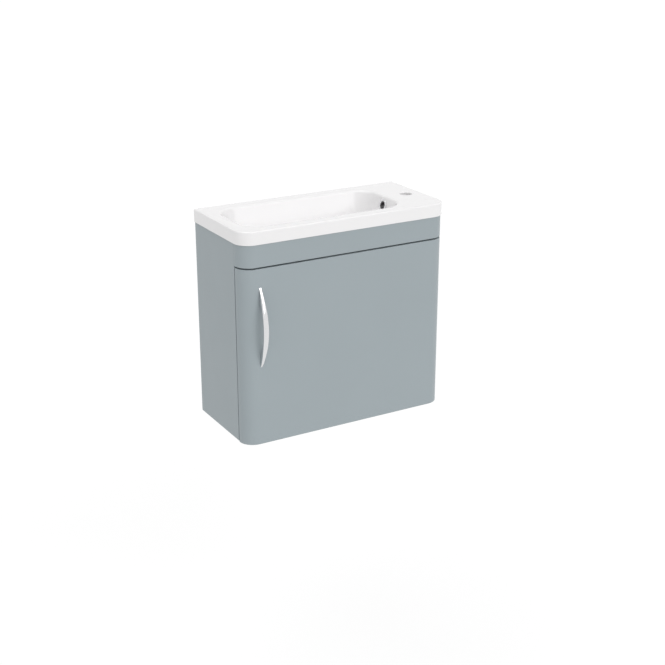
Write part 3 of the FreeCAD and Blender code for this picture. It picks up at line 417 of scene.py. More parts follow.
@dataclass(frozen=True)
class Moulding(Finish):
    """Moulded plastic with a spark-eroded grain."""

    name: str = "white_moulding"
    colour: Colour = shade_of(0.76, 0.76, 0.745)

    def sockets(self, graph: Shader) -> Links:
        """Fine leathery grain and a faint flow pattern.

        Args:
            graph: The tree.

        Returns:
            The shader's inputs.
        """
        grain = graph.noise(1100.0, 3.0, 0.6)
        flow = graph.noise(40.0, drawn=(1.0, 1.0, 0.3))
        return {
            "Base Color": self.mottled(graph, flow, 0.96, 1.03),
            "Roughness": 0.42 + 0.14 * grain,
            "Normal": graph.bump(grain, 0.05 * MILLIMETRE),
        }


@dataclass(frozen=True)
class RawBoard(Finish):
    """The sawn edge of fibre board, left without foil at the back."""

    name: str = "raw_board"
    colour: Colour = shade_of(0.36, 0.255, 0.165)

    def sockets(self, graph: Shader) -> Links:
        """Short fibres along the board, with saw marks across it.

        Args:
            graph: The tree.

        Returns:
            The shader's inputs.
        """
        fibre = graph.noise(1400.0, 4.0, 0.7, (1.0, 1.0, 0.22))
        cloud = graph.noise(60.0, 3.0, 0.6)
        saw = graph.noise(900.0, 1.0, drawn=(0.05, 0.05, 1.0))
        fibres = self.mottled(graph, fibre, 0.62, 1.40)
        return {
            "Base Color": graph.blend(cloud * 0.5, fibres, scaled(self.colour, 1.12)),
            "Roughness": 0.84 + 0.1 * fibre,
            "Normal": graph.bump(0.6 * fibre + 0.4 * saw, 0.15 * MILLIMETRE),
        }


@dataclass(frozen=True)
class DowelBeech(Finish):
    """Fluted beech with its short dark flecks."""

    name: str = "dowel_beech"
    colour: Colour = shade_of(0.56, 0.40, 0.245)
    drawn: Point = (0.08, 1.0, 1.0)

    def sockets(self, graph: Shader) -> Links:
        """Long grain with flecks.

        Args:
            graph: The tree.

        Returns:
            The shader's inputs.
        """
        grain = graph.noise(700.0, 3.0, 0.6, self.drawn)
        return {
            "Base Color": self.mottled(graph, grain, 0.72, 1.18),
            "Roughness": 0.6 + 0.2 * grain,
            "Normal": graph.bump(grain, 0.05 * MILLIMETRE),
        }


@dataclass(frozen=True)
class SoftBumper(Finish):
    """Clear polyurethane, slightly milky."""

    name: str = "soft_bumper"
    colour: Colour = shade_of(0.80, 0.82, 0.83)

    def sockets(self, graph: Shader) -> Links:
        """Clear with a little haze.

        Args:
            graph: The tree.

        Returns:
            The shader's inputs.
        """
        haze = graph.noise(800.0, 2.0)
        return {
            "Base Color": self.mottled(graph, haze, 0.94, 1.05),
            "Roughness": 0.16 + 0.14 * haze,
            "IOR": 1.49,
            "Transmission Weight": 0.75,
        }


def made_from(finish: Finish) -> Material:
    """A field that holds the material of a finish."""
    return field(default_factory=finish.material)


@dataclass
class Palette:
    """Every material of the unit, made once."""

    foil: Material = made_from(SatinFoil())
    glaze: Material = made_from(WhiteGlaze())
    china: Material = made_from(BareChina())
    chrome: Material = made_from(PolishedChrome())
    nickel: Material = made_from(PlatedMetal())
    spangle: Material = made_from(Spangle())
    bright_zinc: Material = made_from(PlatedMetal("bright_zinc", shade_of(0.60, 0.62, 0.645), 0.26,
                                                  (1.0, 1.0, 1.0), 1900.0))
    white_plastic: Material = made_from(Moulding())
    grey_plastic: Material = made_from(Moulding("grey_moulding", shade_of(0.31, 0.35, 0.37)))
    raw_board: Material = made_from(RawBoard())
    dowel_beech: Material = made_from(DowelBeech())
    peg_beech: Material = made_from(DowelBeech("peg_beech", drawn=(1.0, 0.08, 1.0)))
    bumper: Material = made_from(SoftBumper())


def link_new(name: str, data: bpy.types.ID) -> Piece:
    """Put a new object in the scene.

    Args:
        name: The object's name.
        data: Its lamp, its camera, or its mesh in the row frame.

    Returns:
        The object, at the origin.
    """
    made = bpy.data.objects.new(name, data)
    bpy.context.scene.collection.objects.link(made)
    return made


def settle(piece: Piece) -> None:
    """Turn what a piece's modifiers give into its own plain mesh, and remove them.

    Args:
        piece: The piece.
    """
    graph = bpy.context.evaluated_depsgraph_get()
    mesh = bpy.data.meshes.new_from_object(piece.evaluated_get(graph), depsgraph=graph)
    piece.modifiers.clear()
    piece.data = mesh


def stand_for(piece: Piece, body: Body, slot: str, *nodes: str) -> None:
    """Say what a finished piece rides on and which CAD nodes it stands for.

    Args:
        piece: The finished piece.
        body: The body that it moves with.
        slot: The record's material slot; not used.
        nodes: The CAD nodes that it replaces.
    """
    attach(piece, body.value)
    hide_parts(*nodes)
    LOG.info("%s rides on %s, %d faces", piece.name, body.value, len(piece.data.polygons))


EdgeShare = Callable[[Edge, Vector, Vector], float]
FaceTest = Callable[[Face], bool]


def lies_at(edge: Edge, axis: int, place: float) -> bool:
    """True where both ends of an edge touch a plane across an axis."""
    return all(abs(vert.co[axis] - place) < TOUCHING for vert in edge.verts)


def at_wall(face: Face) -> bool:
    """True for a face on the wall plane."""
    return face.normal.y > FACING and face.center.y > -MILLIMETRE


def on_outside(edge: Edge, low: Vector, high: Vector, least: float = 8 * MILLIMETRE) -> bool:
    """True for a long edge on the outside of its piece, and not for the rim of a hole."""
    return edge.calc_length() >= least and any(
        lies_at(edge, axis, limit[axis]) for axis in range(3) for limit in (low, high))


def on_outline(edge: Edge, low: Vector, high: Vector) -> bool:
    """True for the outlines and the upright edges of a board shaped in plan."""
    level = any(lies_at(edge, Z_AXIS, limit.z) for limit in (low, high))
    return level or on_outside(edge, low, high)


@dataclass(frozen=True)
class SoftEdges:
    """Rounding of the sharp edges of a machined, pressed or moulded piece."""

    width: float
    fine: float = 0.25
    segments: int = 3
    weld: float = 0.001 * MILLIMETRE
    flat_angle: float = math.radians(0.2)

    def dress(self, node: str, body: Body, slot: str, material: Material, main: EdgeShare = on_outside,
              other: Optional[Material] = None, where: Optional[FaceTest] = None) -> None:
        """Let a rounded and painted copy stand for a CAD node.

        Args:
            node: The node's name.
            body: The body that it moves with.
            slot: The record's material slot; passed on to stand_for, which does not use it.
            material: The finish of the whole piece.
            main: The share of the width that an edge gets.
            other: The finish of some faces.
            where: Which faces these are.
        """
        piece = self.copy_of(node, main)
        materials = piece.data.materials
        materials.clear()
        materials.append(material)
        if other is not None:
            materials.append(other)
            for face in piece.data.polygons:
                face.material_index = int(where(face))
        stand_for(piece, body, slot, node)

    def copy_of(self, node: str, main: EdgeShare) -> Piece:
        """A copy of a CAD node with rounded edges.

        Args:
            node: The node's name.
            main: The share of the width that an edge gets; a sharp edge with none gets the fine share.

        Returns:
            The new piece, named after the node.
        """
        shape = bmesh.new()
        shape.from_mesh(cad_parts[node].data)
        bmesh.ops.remove_doubles(shape, verts=shape.verts, dist=self.weld)
        bmesh.ops.dissolve_limit(shape, angle_limit=self.flat_angle, verts=shape.verts,
                                 edges=shape.edges)
        low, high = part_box(node)
        weights = shape.edges.layers.float.new("bevel_weight_edge")
        for edge in shape.edges:
            edge.smooth = True
            sharp = len(edge.link_faces) == 2 and edge.calc_face_angle() > SHARP_ANGLE
            if sharp and edge.is_convex:
                edge[weights] = float(main(edge, low, high)) or self.fine
        mesh = bpy.data.meshes.new(f"{node}_soft")
        shape.to_mesh(mesh)
        shape.free()
        for stale in ("custom_normal", "sharp_face", "sharp_edge"):
            if stale in mesh.attributes:
                mesh.attributes.remove(mesh.attributes[stale])
        mesh.shade_smooth()
        mesh.set_sharp_from_angle(angle=SHARP_ANGLE)
        piece = link_new(f"{node}_soft", mesh)
        bevel = piece.modifiers.new("rounding", "BEVEL")
        bevel.limit_method = "WEIGHT"
        bevel.width = self.width
        bevel.segments = self.segments
        bevel.use_clamp_overlap = False
        bevel.harden_normals = True
        settle(piece)
        return piece


class Recipe:
    """A Geometry Nodes tree with named inputs, run once to make a plain mesh."""

    SEED = 7

    def __init__(self, name: str, numbers: Sequence[str]) -> None:
        """Make the tree with a geometry, its numbers and a material as inputs.

        Args:
            name: The tree's name.
            numbers: The names of its sizes.
        """
        self.tree = bpy.data.node_groups.new(name, "GeometryNodeTree")
        face = self.tree.interface
        face.new_socket("Geometry", in_out="OUTPUT", socket_type="NodeSocketGeometry")
        face.new_socket("Geometry", in_out="INPUT", socket_type="NodeSocketGeometry")
        kinds = {number: "NodeSocketFloat" for number in numbers} | {"Material": "NodeSocketMaterial"}
        self.keys = {word: face.new_socket(word, in_out="INPUT", socket_type=kind).identifier
                     for word, kind in kinds.items()}
        self.graph = Graph(self.tree)
        self.entry = self.graph.node("NodeGroupInput").socket.node

    def given(self, name: str) -> Value:
        """One of the tree's inputs."""
        return Value(self.graph, self.entry.outputs[name])

    def spot(self, axes: str = "XYZ") -> list[Value]:
        """The place of each point of a shape along some axes."""
        spot = self.graph.node("GeometryNodeInputPosition")
        return [self.graph.node("ShaderNodeSeparateXYZ", {"Vector": spot}, axis) for axis in axes]

    def moved(self, shape: Value, x: Value, y: Value, z: Value) -> Value:
        """A shape with each of its points moved to a new place."""
        place = self.graph.node("ShaderNodeCombineXYZ", {"X": x, "Y": y, "Z": z})
        return self.graph.node("GeometryNodeSetPosition", {"Geometry": shape, "Position": place})

    def spread(self, instance: Value, full_turn: float = math.tau) -> Value:
        """Copies of a shape on the points, each along its point's aim and turned by chance.

        Args:
            instance: The shape, standing along +Z.
            full_turn: The most that a copy is turned about its aim.

        Returns:
            The instances.
        """
        graph = self.graph
        aim = graph.node("GeometryNodeInputNamedAttribute", {"Name": "aim"}, data_type="FLOAT_VECTOR")
        turn = graph.node("FunctionNodeAlignRotationToVector", {"Vector": aim}, axis="Z")
        copies = graph.node("GeometryNodeInstanceOnPoints",
                            {"Points": self.given("Geometry"), "Instance": instance, "Rotation": turn})
        chance = graph.node("FunctionNodeRandomValue", {2: 0.0, 3: full_turn, "Seed": self.SEED}, 1,
                            data_type="FLOAT")
        spin = graph.node("ShaderNodeCombineXYZ", {"Z": chance})
        return graph.node("GeometryNodeRotateInstances", {"Instances": copies, "Rotation": spin})

    def close(self, geometry: Value) -> None:
        """End the tree in plain geometry with its material.

        Args:
            geometry: The shapes or their instances.
        """
        plain = self.graph.node("GeometryNodeRealizeInstances", {"Geometry": geometry})
        dressed = self.graph.node("GeometryNodeSetMaterial",
                                  {"Geometry": plain, "Material": self.given("Material")})
        self.graph.node("NodeGroupOutput", {"Geometry": dressed})

    def run(self, name: str, material: Material, sizes: Sizes,
            points: Sequence[Point], aims: Sequence[Point] = (UP,)) -> Piece:
        """Run the tree on a set of points.

        Args:
            name: The new piece's name.
            material: Its finish.
            sizes: The tree's numbers.
            points: Where copies go, in the row frame.
            aims: Which way each copy points, in turn.

        Returns:
            The new piece with a plain mesh.
        """
        mesh = bpy.data.meshes.new(name)
        mesh.from_pydata(list(points), [], [])
        aim = mesh.attributes.new("aim", "FLOAT_VECTOR", "POINT")
        for place, direction in zip(aim.data, cycle(aims)):
            place.vector = direction
        piece = link_new(name, mesh)
        modifier = piece.modifiers.new("recipe", "NODES")
        modifier.node_group = self.tree
        for word, number in sizes.items():
            modifier[self.keys[word]] = number
        modifier[self.keys["Material"]] = material
        settle(piece)
        tidy_mesh(piece.data)
        return piece


def tidy_mesh(mesh: bpy.types.Mesh) -> None:
    """Merge doubles, point faces outwards and smooth all but the sharp edges.

    Args:
        mesh: The mesh.
    """
    shape = bmesh.new()
    shape.from_mesh(mesh)
    bmesh.ops.remove_doubles(shape, verts=shape.verts, dist=WELD)
    bmesh.ops.recalc_face_normals(shape, faces=shape.faces)
    if shape.calc_volume(signed=True) < 0:
        bmesh.ops.reverse_faces(shape, faces=shape.faces)
    shape.to_mesh(mesh)
    shape.free()
    if "aim" in mesh.attributes:
        mesh.attributes.remove(mesh.attributes["aim"])
    mesh.shade_smooth()
    mesh.set_sharp_from_angle(angle=SHARP_ANGLE)


class TurnedPiece(Recipe):
    """A recipe that draws a closed tube of four rings out along +Z."""

    GAPS = (-1.0, 0.0, 1.0)
    STEEPNESS = 8.0

    def __init__(self, name: str, numbers: Sequence[str], vertices: int) -> None:
        """Start the tube.

        Args:
            name: The tree's name.
            numbers: The names of its sizes.
            vertices: Points round each ring.
        """
        super().__init__(name, numbers)
        steps = len(self.GAPS)
        self.rings = self.graph.node("GeometryNodeMeshCylinder",
                                     {"Vertices": vertices, "Side Segments": steps, "Radius": 1.0,
                                      "Depth": float(steps)})
        self.x, self.y, z = self.spot()
        self.past = [((z - gap) * self.STEEPNESS).at_least(0.0).at_most(1.0) for gap in self.GAPS]

    def turned(self, radius: Value, level: Value) -> Value:
        """The tube, from radii and levels made with self.past, whose steps are 1 beyond each gap."""
        drawn = self.moved(self.rings, self.x * radius, self.y * radius, level)
        return self.graph.node("GeometryNodeMergeByDistance", {"Geometry": drawn, "Distance": WELD})


class CrossScrews(TurnedPiece):
    """Screws with a chamfered head, a cross recess and a shank, head upwards at the point.

    The chamfer is a share of the head's radius, and the cross's length and width of its diameter.
    """

    CHAMFER = 0.16
    CROSS = (0.46, 0.12)

    def __init__(self) -> None:
        """Build the tree: a turned screw less its cross."""
        super().__init__("cross_screws", ("Head Diameter", "Head Height", "Shank Diameter",
                                          "Shank Length", "Recess Depth"), vertices=40)
        graph = self.graph
        wide = self.given("Head Diameter")
        top = graph.node("ShaderNodeCombineXYZ", {"Z": self.given("Head Height")})
        cross = graph.node("GeometryNodeJoinGeometry")
        for along, across in (self.CROSS, self.CROSS[::-1]):
            size = graph.node("ShaderNodeCombineXYZ", {"X": wide * along, "Y": wide * across,
                                                       "Z": self.given("Recess Depth") * 2.0})
            slot = graph.node("GeometryNodeMeshCube", {"Size": size})
            lifted = graph.node("GeometryNodeTransform", {"Geometry": slot, "Translation": top})
            graph.tree.links.new(lifted.socket, cross.socket.node.inputs[0])
        whole = graph.node("GeometryNodeMeshBoolean",
                           {"Mesh 1": self._plain(), "Mesh 2": cross, "Self Intersection": True},
                           operation="DIFFERENCE", solver="EXACT")
        self.close(self.spread(whole))

    def _plain(self) -> Value:
        """The screw without its recess.

        Returns:
            A tube with rings at the shank's end, twice under the head, and on top.
        """
        shank, head, top = self.past
        wide, slim = self.given("Head Diameter") * 0.5, self.given("Shank Diameter") * 0.5
        radius = slim + (wide - slim) * head - wide * top * self.CHAMFER
        level = self.given("Shank Length") * (shank - 1.0) + self.given("Head Height") * top
        return self.turned(radius, level)


class FlutedDowels(TurnedPiece):
    """Dowels with glue flutes and chamfered ends, upwards from the point."""

    def __init__(self) -> None:
        """Build the tree: a chamfered rod, drawn in along every flute."""
        super().__init__("fluted_dowels", ("Diameter", "Length", "Chamfer", "Flutes", "Flute Depth"),
                         vertices=96)
        low, middle, high = self.past
        chamfer = self.given("Chamfer")
        wave = (self.y.then("ARCTAN2", self.x) * self.given("Flutes")).then("COSINE")
        groove = (wave * 0.5 + 0.5) * self.given("Flute Depth")
        radius = self.given("Diameter") * 0.5 - chamfer * (high - low + 1.0) - groove * (low - high)
        level = chamfer * (low + high) + (self.given("Length") - chamfer * 2.0) * middle
        self.close(self.spread(self.turned(radius, level)))


class DomedCaps(Recipe):
    """Round caps with a flat top and a rolled edge, or full domes."""

    def __init__(self) -> None:
        """Build the tree: a ball pressed flat, cut off level with its point."""
        super().__init__("domed_caps", ("Diameter", "Height", "Fullness"))
        ball = self.graph.node("GeometryNodeMeshUVSphere", {"Segments": 48, "Rings": 24, "Radius": 1.0})
        x, y, z = self.spot()
        radius = self.given("Diameter") * 0.5
        rise = (z.at_least(0.0) * self.given("Fullness")).at_most(1.0) * self.given("Height")
        self.close(self.spread(self.moved(ball, x * radius, y * radius, rise)))


class BowBar(Recipe):
    """A crescent bow: two arcs in side view, a taper in front view and a rounded section."""

    def __init__(self) -> None:
        """Build the tree: a grid whose one way runs along the bow and the other round its section."""
        super().__init__("bow_bar", ("Length", "Reach", "Thickness", "Foot", "Width", "Tip",
                                     "Squareness"))
        half = self.given("Length") * 0.5
        reach = self.given("Reach")
        grid = self.graph.node("GeometryNodeMeshGrid", {"Size X": 1.0, "Size Y": 1.0,
                                                        "Vertices X": 121, "Vertices Y": 49})
        along, round_it = self.spot("XY")
        level = (along * math.pi).then("SINE") * half
        outside = self._arc(level, half, reach)
        inside = self._arc(level, half - self.given("Foot"), reach - self.given("Thickness"))
        inside = inside.at_least(0.0)
        tip = self.given("Tip") * 0.5
        broad = tip + self._arc(level, half, self.given("Width") * 0.5 - tip)
        turn = round_it * math.tau
        middle, depth = (outside + inside) * 0.5, (outside - inside) * 0.5
        across = broad * self._squared(turn.then("COSINE"))
        out = middle + depth * self._squared(turn.then("SINE"))
        self.close(self.spread(self.moved(grid, across, out * -1.0, level), 0.0))

    def _arc(self, level: Value, half_chord: Value, rise: Value) -> Value:
        """The height of an arc at a level from its middle, below zero past the ends of its chord."""
        radius = (half_chord * half_chord + rise * rise) / (rise * 2.0)
        return (radius * radius - level * level).at_least(0.0).then("SQRT") - (radius - rise)

    def _squared(self, wave: Value) -> Value:
        """A sine or cosine drawn out towards a square."""
        return wave.then("SIGN") * wave.then("ABSOLUTE") ** self.given("Squareness")


PAN_HEAD = {"head_diameter": 0.0066, "head_height": 0.0018, "shank_diameter": 0.0035,
            "recess_depth": 0.0012}
STUD = {"head_diameter": 0.005, "head_height": 0.0006, "shank_diameter": 0.005, "recess_depth": 0.0016}
FLUTED = {"chamfer": 0.0008, "flutes": 16.0, "flute_depth": 0.0003}


def sized(**numbers: float) -> Sizes:
    """A field that holds a recipe's sizes under the names of its inputs."""
    named = {word.replace("_", " ").title(): number for word, number in numbers.items()}
    return field(default_factory=lambda: named)


@dataclass
class Basin:
    """The basin with its glaze, bare back and chrome overflow ring."""

    palette: Palette
    rim_under: float = 0.394
    bowl_floor: float = 0.335
    bowl_middle: float = -0.1012
    waste_x: float = 0.032
    duct_x: float = 0.155
    lip: SoftEdges = SoftEdges(2.0 * MILLIMETRE, 0.0, 5)
    plain_share: float = 0.7
    slope: float = 0.05
    ring_edge: SoftEdges = SoftEdges(0.5 * MILLIMETRE, 1.0)

    def build(self) -> None:
        """Make the basin and its ring."""
        self.lip.dress("basin", Body.CARCASS, "basin_glaze", self.palette.glaze, self._open_edge,
                       self.palette.china, self._is_bare)
        self.ring_edge.dress("overflow_ring", Body.CARCASS, "chrome", self.palette.chrome)

    def _open_edge(self, edge: Edge, low: Vector, high: Vector) -> float:
        """How much of the lip's rounding an edge gets.

        Args:
            edge: The edge.
            low: The basin's lowest corner.
            high: The basin's highest corner.

        Returns:
            1 for the tap hole's rolled lip, a share for the rim's lower edge, the waste hole and the
            back edges, and 0 for the rest.
        """
        behind = lies_at(edge, Y_AXIS, high.y)
        if lies_at(edge, Z_AXIS, high.z) and not behind:
            return 1.0
        level = any(lies_at(edge, Z_AXIS, z) for z in (self.rim_under, self.bowl_floor))
        return self.plain_share if level or behind else 0.0

    def _is_bare(self, face: Face) -> bool:
        """True for the back and for the outside of what hangs under the rim.

        Args:
            face: A face of the basin.

        Returns:
            Whether it is left without glaze.
        """
        if at_wall(face):
            return True
        if face.center.z > self.rim_under - MILLIMETRE or face.normal.z > self.slope:
            return False
        middle = min((self.waste_x, self.duct_x), key=lambda x: abs(face.center.x - x))
        across, out = face.center.x - middle, face.center.y - self.bowl_middle
        return face.normal.z < -self.slope or across * face.normal.x + out * face.normal.y > 0


@dataclass
class Cabinet:
    """The carcass boards and the fixed strip, wrapped in foil, with sawn edges at the wall."""

    palette: Palette
    board_edge: SoftEdges = SoftEdges(0.6 * MILLIMETRE)
    strip_edge: SoftEdges = SoftEdges(0.8 * MILLIMETRE, 0.3)
    back_edge: SoftEdges = SoftEdges(0.4 * MILLIMETRE, 1.0, 2)
    boards: tuple[str, ...] = ("left_side_panel", "right_side_panel", "bottom_panel")
    edge_on: float = 0.5

    def build(self) -> None:
        """Make the boards, the strip and the back."""
        wrap = (Body.CARCASS, "cabinet_foil", self.palette.foil)
        raw = self.palette.raw_board
        for node in self.boards:
            self.board_edge.dress(node, *wrap, on_outside, raw, at_wall)
        self.board_edge.dress("rear_rail", *wrap, on_outside, raw, self._is_end)
        self.strip_edge.dress("front_fascia", *wrap, on_outline)
        self.back_edge.dress("back_panel", *wrap, on_outside, raw, self._is_cut_out)

    def _is_end(self, face: Face) -> bool:
        """True for the sawn underside of the rail."""
        return face.normal.z < -FACING

    def _is_cut_out(self, face: Face) -> bool:
        """True for the sawn edges of the back and of its windows."""
        return abs(face.normal.y) < self.edge_on


@dataclass
class Door:
    """The wrapped door with its bow handle, handle screws and buffers."""

    palette: Palette
    caps: DomedCaps
    screws: CrossScrews
    edge: SoftEdges = SoftEdges(0.8 * MILLIMETRE, 0.3)
    front: float = -0.201
    handle_x: float = -0.1864
    handle_z: float = 0.234
    handle_centres: float = 0.128
    screw_seat: float = -0.176
    buffer_x: float = -0.215
    buffer_y: float = -0.171
    buffer_levels: tuple[float, float] = (0.030, 0.318)
    bow: Sizes = sized(length=0.156, reach=0.02399, thickness=0.006, foot=0.024, width=0.0105,
                       tip=0.0046, squareness=0.62)
    screw: Sizes = sized(head_diameter=0.0084, head_height=0.003, shank_diameter=0.004,
                         shank_length=0.0308, recess_depth=0.0018)
    buffer: Sizes = sized(diameter=0.008, height=0.0017, fullness=1.0)

    def build(self) -> None:
        """Make the leaf and what is fixed to it."""
        self.edge.dress("door", Body.DOOR, "cabinet_foil", self.palette.foil, on_outline)
        self._build_handle()
        self._build_buffers()

    def _build_handle(self) -> None:
        """The bow, and its two machine screws from inside the door."""
        bow = BowBar().run("bow_handle", self.palette.chrome, self.bow,
                           [(self.handle_x, self.front, self.handle_z)])
        stand_for(bow, Body.DOOR, "chrome", "handle")
        levels = [self.handle_z + sign * self.handle_centres / 2 for sign in (-1, 1)]
        screws = self.screws.run("handle_machine_screws", self.palette.bright_zinc, self.screw,
                                 [(self.handle_x, self.screw_seat, z) for z in levels], [TO_WALL])
        stand_for(screws, Body.DOOR, "zinc", "handle_screws")

    def _build_buffers(self) -> None:
        """The clear domes that the door closes on."""
        buffers = self.caps.run("clear_buffers", self.palette.bumper, self.buffer,
                                [(self.buffer_x, self.buffer_y, z) for z in self.buffer_levels],
                                [TO_WALL])
        stand_for(buffers, Body.DOOR, "clear_rubber", "door_buffers")


@dataclass
class Hinges:
    """Two concealed hinges: pressed cups, arms, links and plates with their screws."""

    palette: Palette
    screws: CrossScrews
    pressed: SoftEdges = SoftEdges(0.5 * MILLIMETRE, 0.4)
    thin: SoftEdges = SoftEdges(0.3 * MILLIMETRE, 0.5)
    levels: tuple[float, float] = (0.060, 0.288)
    cup_x: float = 0.2005
    ear_face: float = -0.1698
    ear_reach: float = 0.023
    plate_face: float = 0.2045
    plate_y: float = -0.132
    plate_reach: float = 0.016
    arm_face: float = 0.192776
    adjuster_ys: tuple[float, float] = (-0.120, -0.110)
    cup_screw: Sizes = sized(head_diameter=0.0066, head_height=0.0004, shank_diameter=0.0035,
                             shank_length=0.0122, recess_depth=0.0014)
    plate_screw: Sizes = sized(shank_length=0.0135, **PAN_HEAD)
    adjuster: Sizes = sized(shank_length=0.005, **STUD)

    def build(self) -> None:
        """Make both hinges and their screws."""
        for word in ("lower", "upper"):
            for part, edge, body in (
                    ("cup", self.thin, Body.DOOR), ("arm", self.pressed, Body.CARCASS),
                    ("plate", self.pressed, Body.CARCASS), ("link", self.thin, Body.LINKS),
                    ("pin", self.thin, Body.DOOR)):
                edge.dress(f"{word}_hinge_{part}", body, "nickel_steel", self.palette.nickel)
        self._build_screws()

    def _build_screws(self) -> None:
        """Screws of the cups and plates, and the two adjusters on each arm."""
        spots = [(self.cup_x, self.ear_face, z + sign * self.ear_reach)
                 for z in self.levels for sign in (-1, 1)]
        cups = self.screws.run("cup_screws", self.palette.bright_zinc, self.cup_screw, spots, [TO_WALL])
        stand_for(cups, Body.DOOR, "zinc", "hinge_cup_screws")
        spots = [(self.plate_face, self.plate_y, z + sign * self.plate_reach)
                 for z in self.levels for sign in (-1, 1)]
        plates = self.screws.run("plate_screws", self.palette.bright_zinc, self.plate_screw, spots,
                                 [TO_LEFT])
        stand_for(plates, Body.CARCASS, "zinc", "hinge_plate_screws")
        spots = [(self.arm_face, y, z) for z in self.levels for y in self.adjuster_ys]
        adjusters = self.screws.run("hinge_adjusting_screws", self.palette.bright_zinc, self.adjuster,
                                    spots, [TO_LEFT])
        stand_for(adjusters, Body.CARCASS, "zinc", "hinge_adjusters")


@dataclass
class Hangers:
    """The hangers in the rear corners: housings, hooks, wall plates and adjusting screws."""

    palette: Palette
    screws: CrossScrews
    moulded: SoftEdges = SoftEdges(1.0 * MILLIMETRE, 0.3)
    bent: SoftEdges = SoftEdges(0.6 * MILLIMETRE, 0.5)
    hook_x: float = 0.196
    housing_face: float = -0.062
    adjuster_levels: tuple[float, float] = (0.3125, 0.3025)
    screw_seat: float = 0.204
    screw_y: float = -0.043
    screw_levels: tuple[float, float] = (0.271, 0.289)
    adjuster: Sizes = sized(shank_length=0.0045, **STUD)
    screw: Sizes = sized(shank_length=0.014, **PAN_HEAD)

    def build(self) -> None:
        """Make both hangers and their screws."""
        for side in Side:
            for part, edge, material, slot in (
                    ("hanger_housing", self.moulded, self.palette.white_plastic, "white_plastic"),
                    ("hanger_hook", self.bent, self.palette.spangle, "zinc"),
                    ("wall_plate", self.bent, self.palette.spangle, "zinc")):
                edge.dress(f"{side.name.lower()}_{part}", Body.CARCASS, slot, material)
        self._build_screws()

    def _build_screws(self) -> None:
        """The adjusting screws on the housings' fronts, and the screws inside them."""
        spots = [(side.value * self.hook_x, self.housing_face, z)
                 for side in Side for z in self.adjuster_levels]
        adjusters = self.screws.run("hanger_adjusting_screws", self.palette.bright_zinc, self.adjuster,
                                    spots, [TO_FRONT])
        stand_for(adjusters, Body.CARCASS, "zinc", "hanger_adjusters")
        spots = [(side.value * self.screw_seat, self.screw_y, z)
                 for side in Side for z in self.screw_levels]
        screws = self.screws.run("housing_screws", self.palette.bright_zinc, self.screw, spots,
                                 [(math.copysign(1.0, -x), 0.0, 0.0) for x, _, _ in spots])
        stand_for(screws, Body.CARCASS, "zinc", "hanger_screws")


@dataclass
class Fixings:
    """Cam covers inside the carcass, and the hidden cams, bolts and dowels."""

    palette: Palette
    caps: DomedCaps
    cast: SoftEdges = SoftEdges(0.4 * MILLIMETRE, 1.0, 2)
    cam_x: float = 0.183
    cam_ys: tuple[float, float] = (-0.125, -0.045)
    floor: float = 0.016
    rail_face: float = -0.016
    rail_level: float = 0.364
    dowel_x: float = 0.188
    dowel_places: tuple[tuple[float, float], ...] = ((-0.150, 0.008), (-0.070, 0.008), (-0.008, 0.381),
                                                     (-0.008, 0.347))
    peg_x: float = 0.215
    peg_y: float = -0.182
    peg_levels: tuple[float, float] = (0.363, 0.382)
    cover: Sizes = sized(diameter=0.018, height=0.0012, fullness=2.6)
    dowel: Sizes = sized(diameter=0.008, length=0.030, **FLUTED)
    peg: Sizes = sized(diameter=0.006, length=0.026, **FLUTED)

    def build(self) -> None:
        """Make the cams with their bolts and covers, and the dowels."""
        self._build_covers()
        for node in ("cam_locks", "cam_bolts"):
            self.cast.dress(node, Body.CARCASS, "zinc", self.palette.bright_zinc)
        self._build_dowels()

    def _build_covers(self) -> None:
        """A dished cap over each cam."""
        places = [(y, self.floor, UP) for y in self.cam_ys]
        places.append((self.rail_face, self.rail_level, TO_FRONT))
        spots = [(side.value * self.cam_x, y, z) for side in Side for y, z, _ in places]
        aims = [aim for _, _, aim in places]
        covers = self.caps.run("cam_cover_caps", self.palette.grey_plastic, self.cover, spots, aims)
        stand_for(covers, Body.CARCASS, "grey_plastic", "cam_covers")

    def _build_dowels(self) -> None:
        """The dowels in the boards' ends, and the slimmer pegs behind the strip."""
        shapes = FlutedDowels()
        spots = [(side.value * self.dowel_x, y, z) for side in Side for y, z in self.dowel_places]
        dowels = shapes.run("fluted_dowels", self.palette.dowel_beech, self.dowel, spots,
                            [(math.copysign(1.0, x), 0.0, 0.0) for x, _, _ in spots])
        stand_for(dowels, Body.CARCASS, "beech", "panel_dowels")
        spots = [(side.value * self.peg_x, self.peg_y, z) for side in Side for z in self.peg_levels]
        pegs = shapes.run("fluted_pegs", self.palette.peg_beech, self.peg, spots, [TO_WALL])
        stand_for(pegs, Body.CARCASS, "beech", "fascia_dowels")


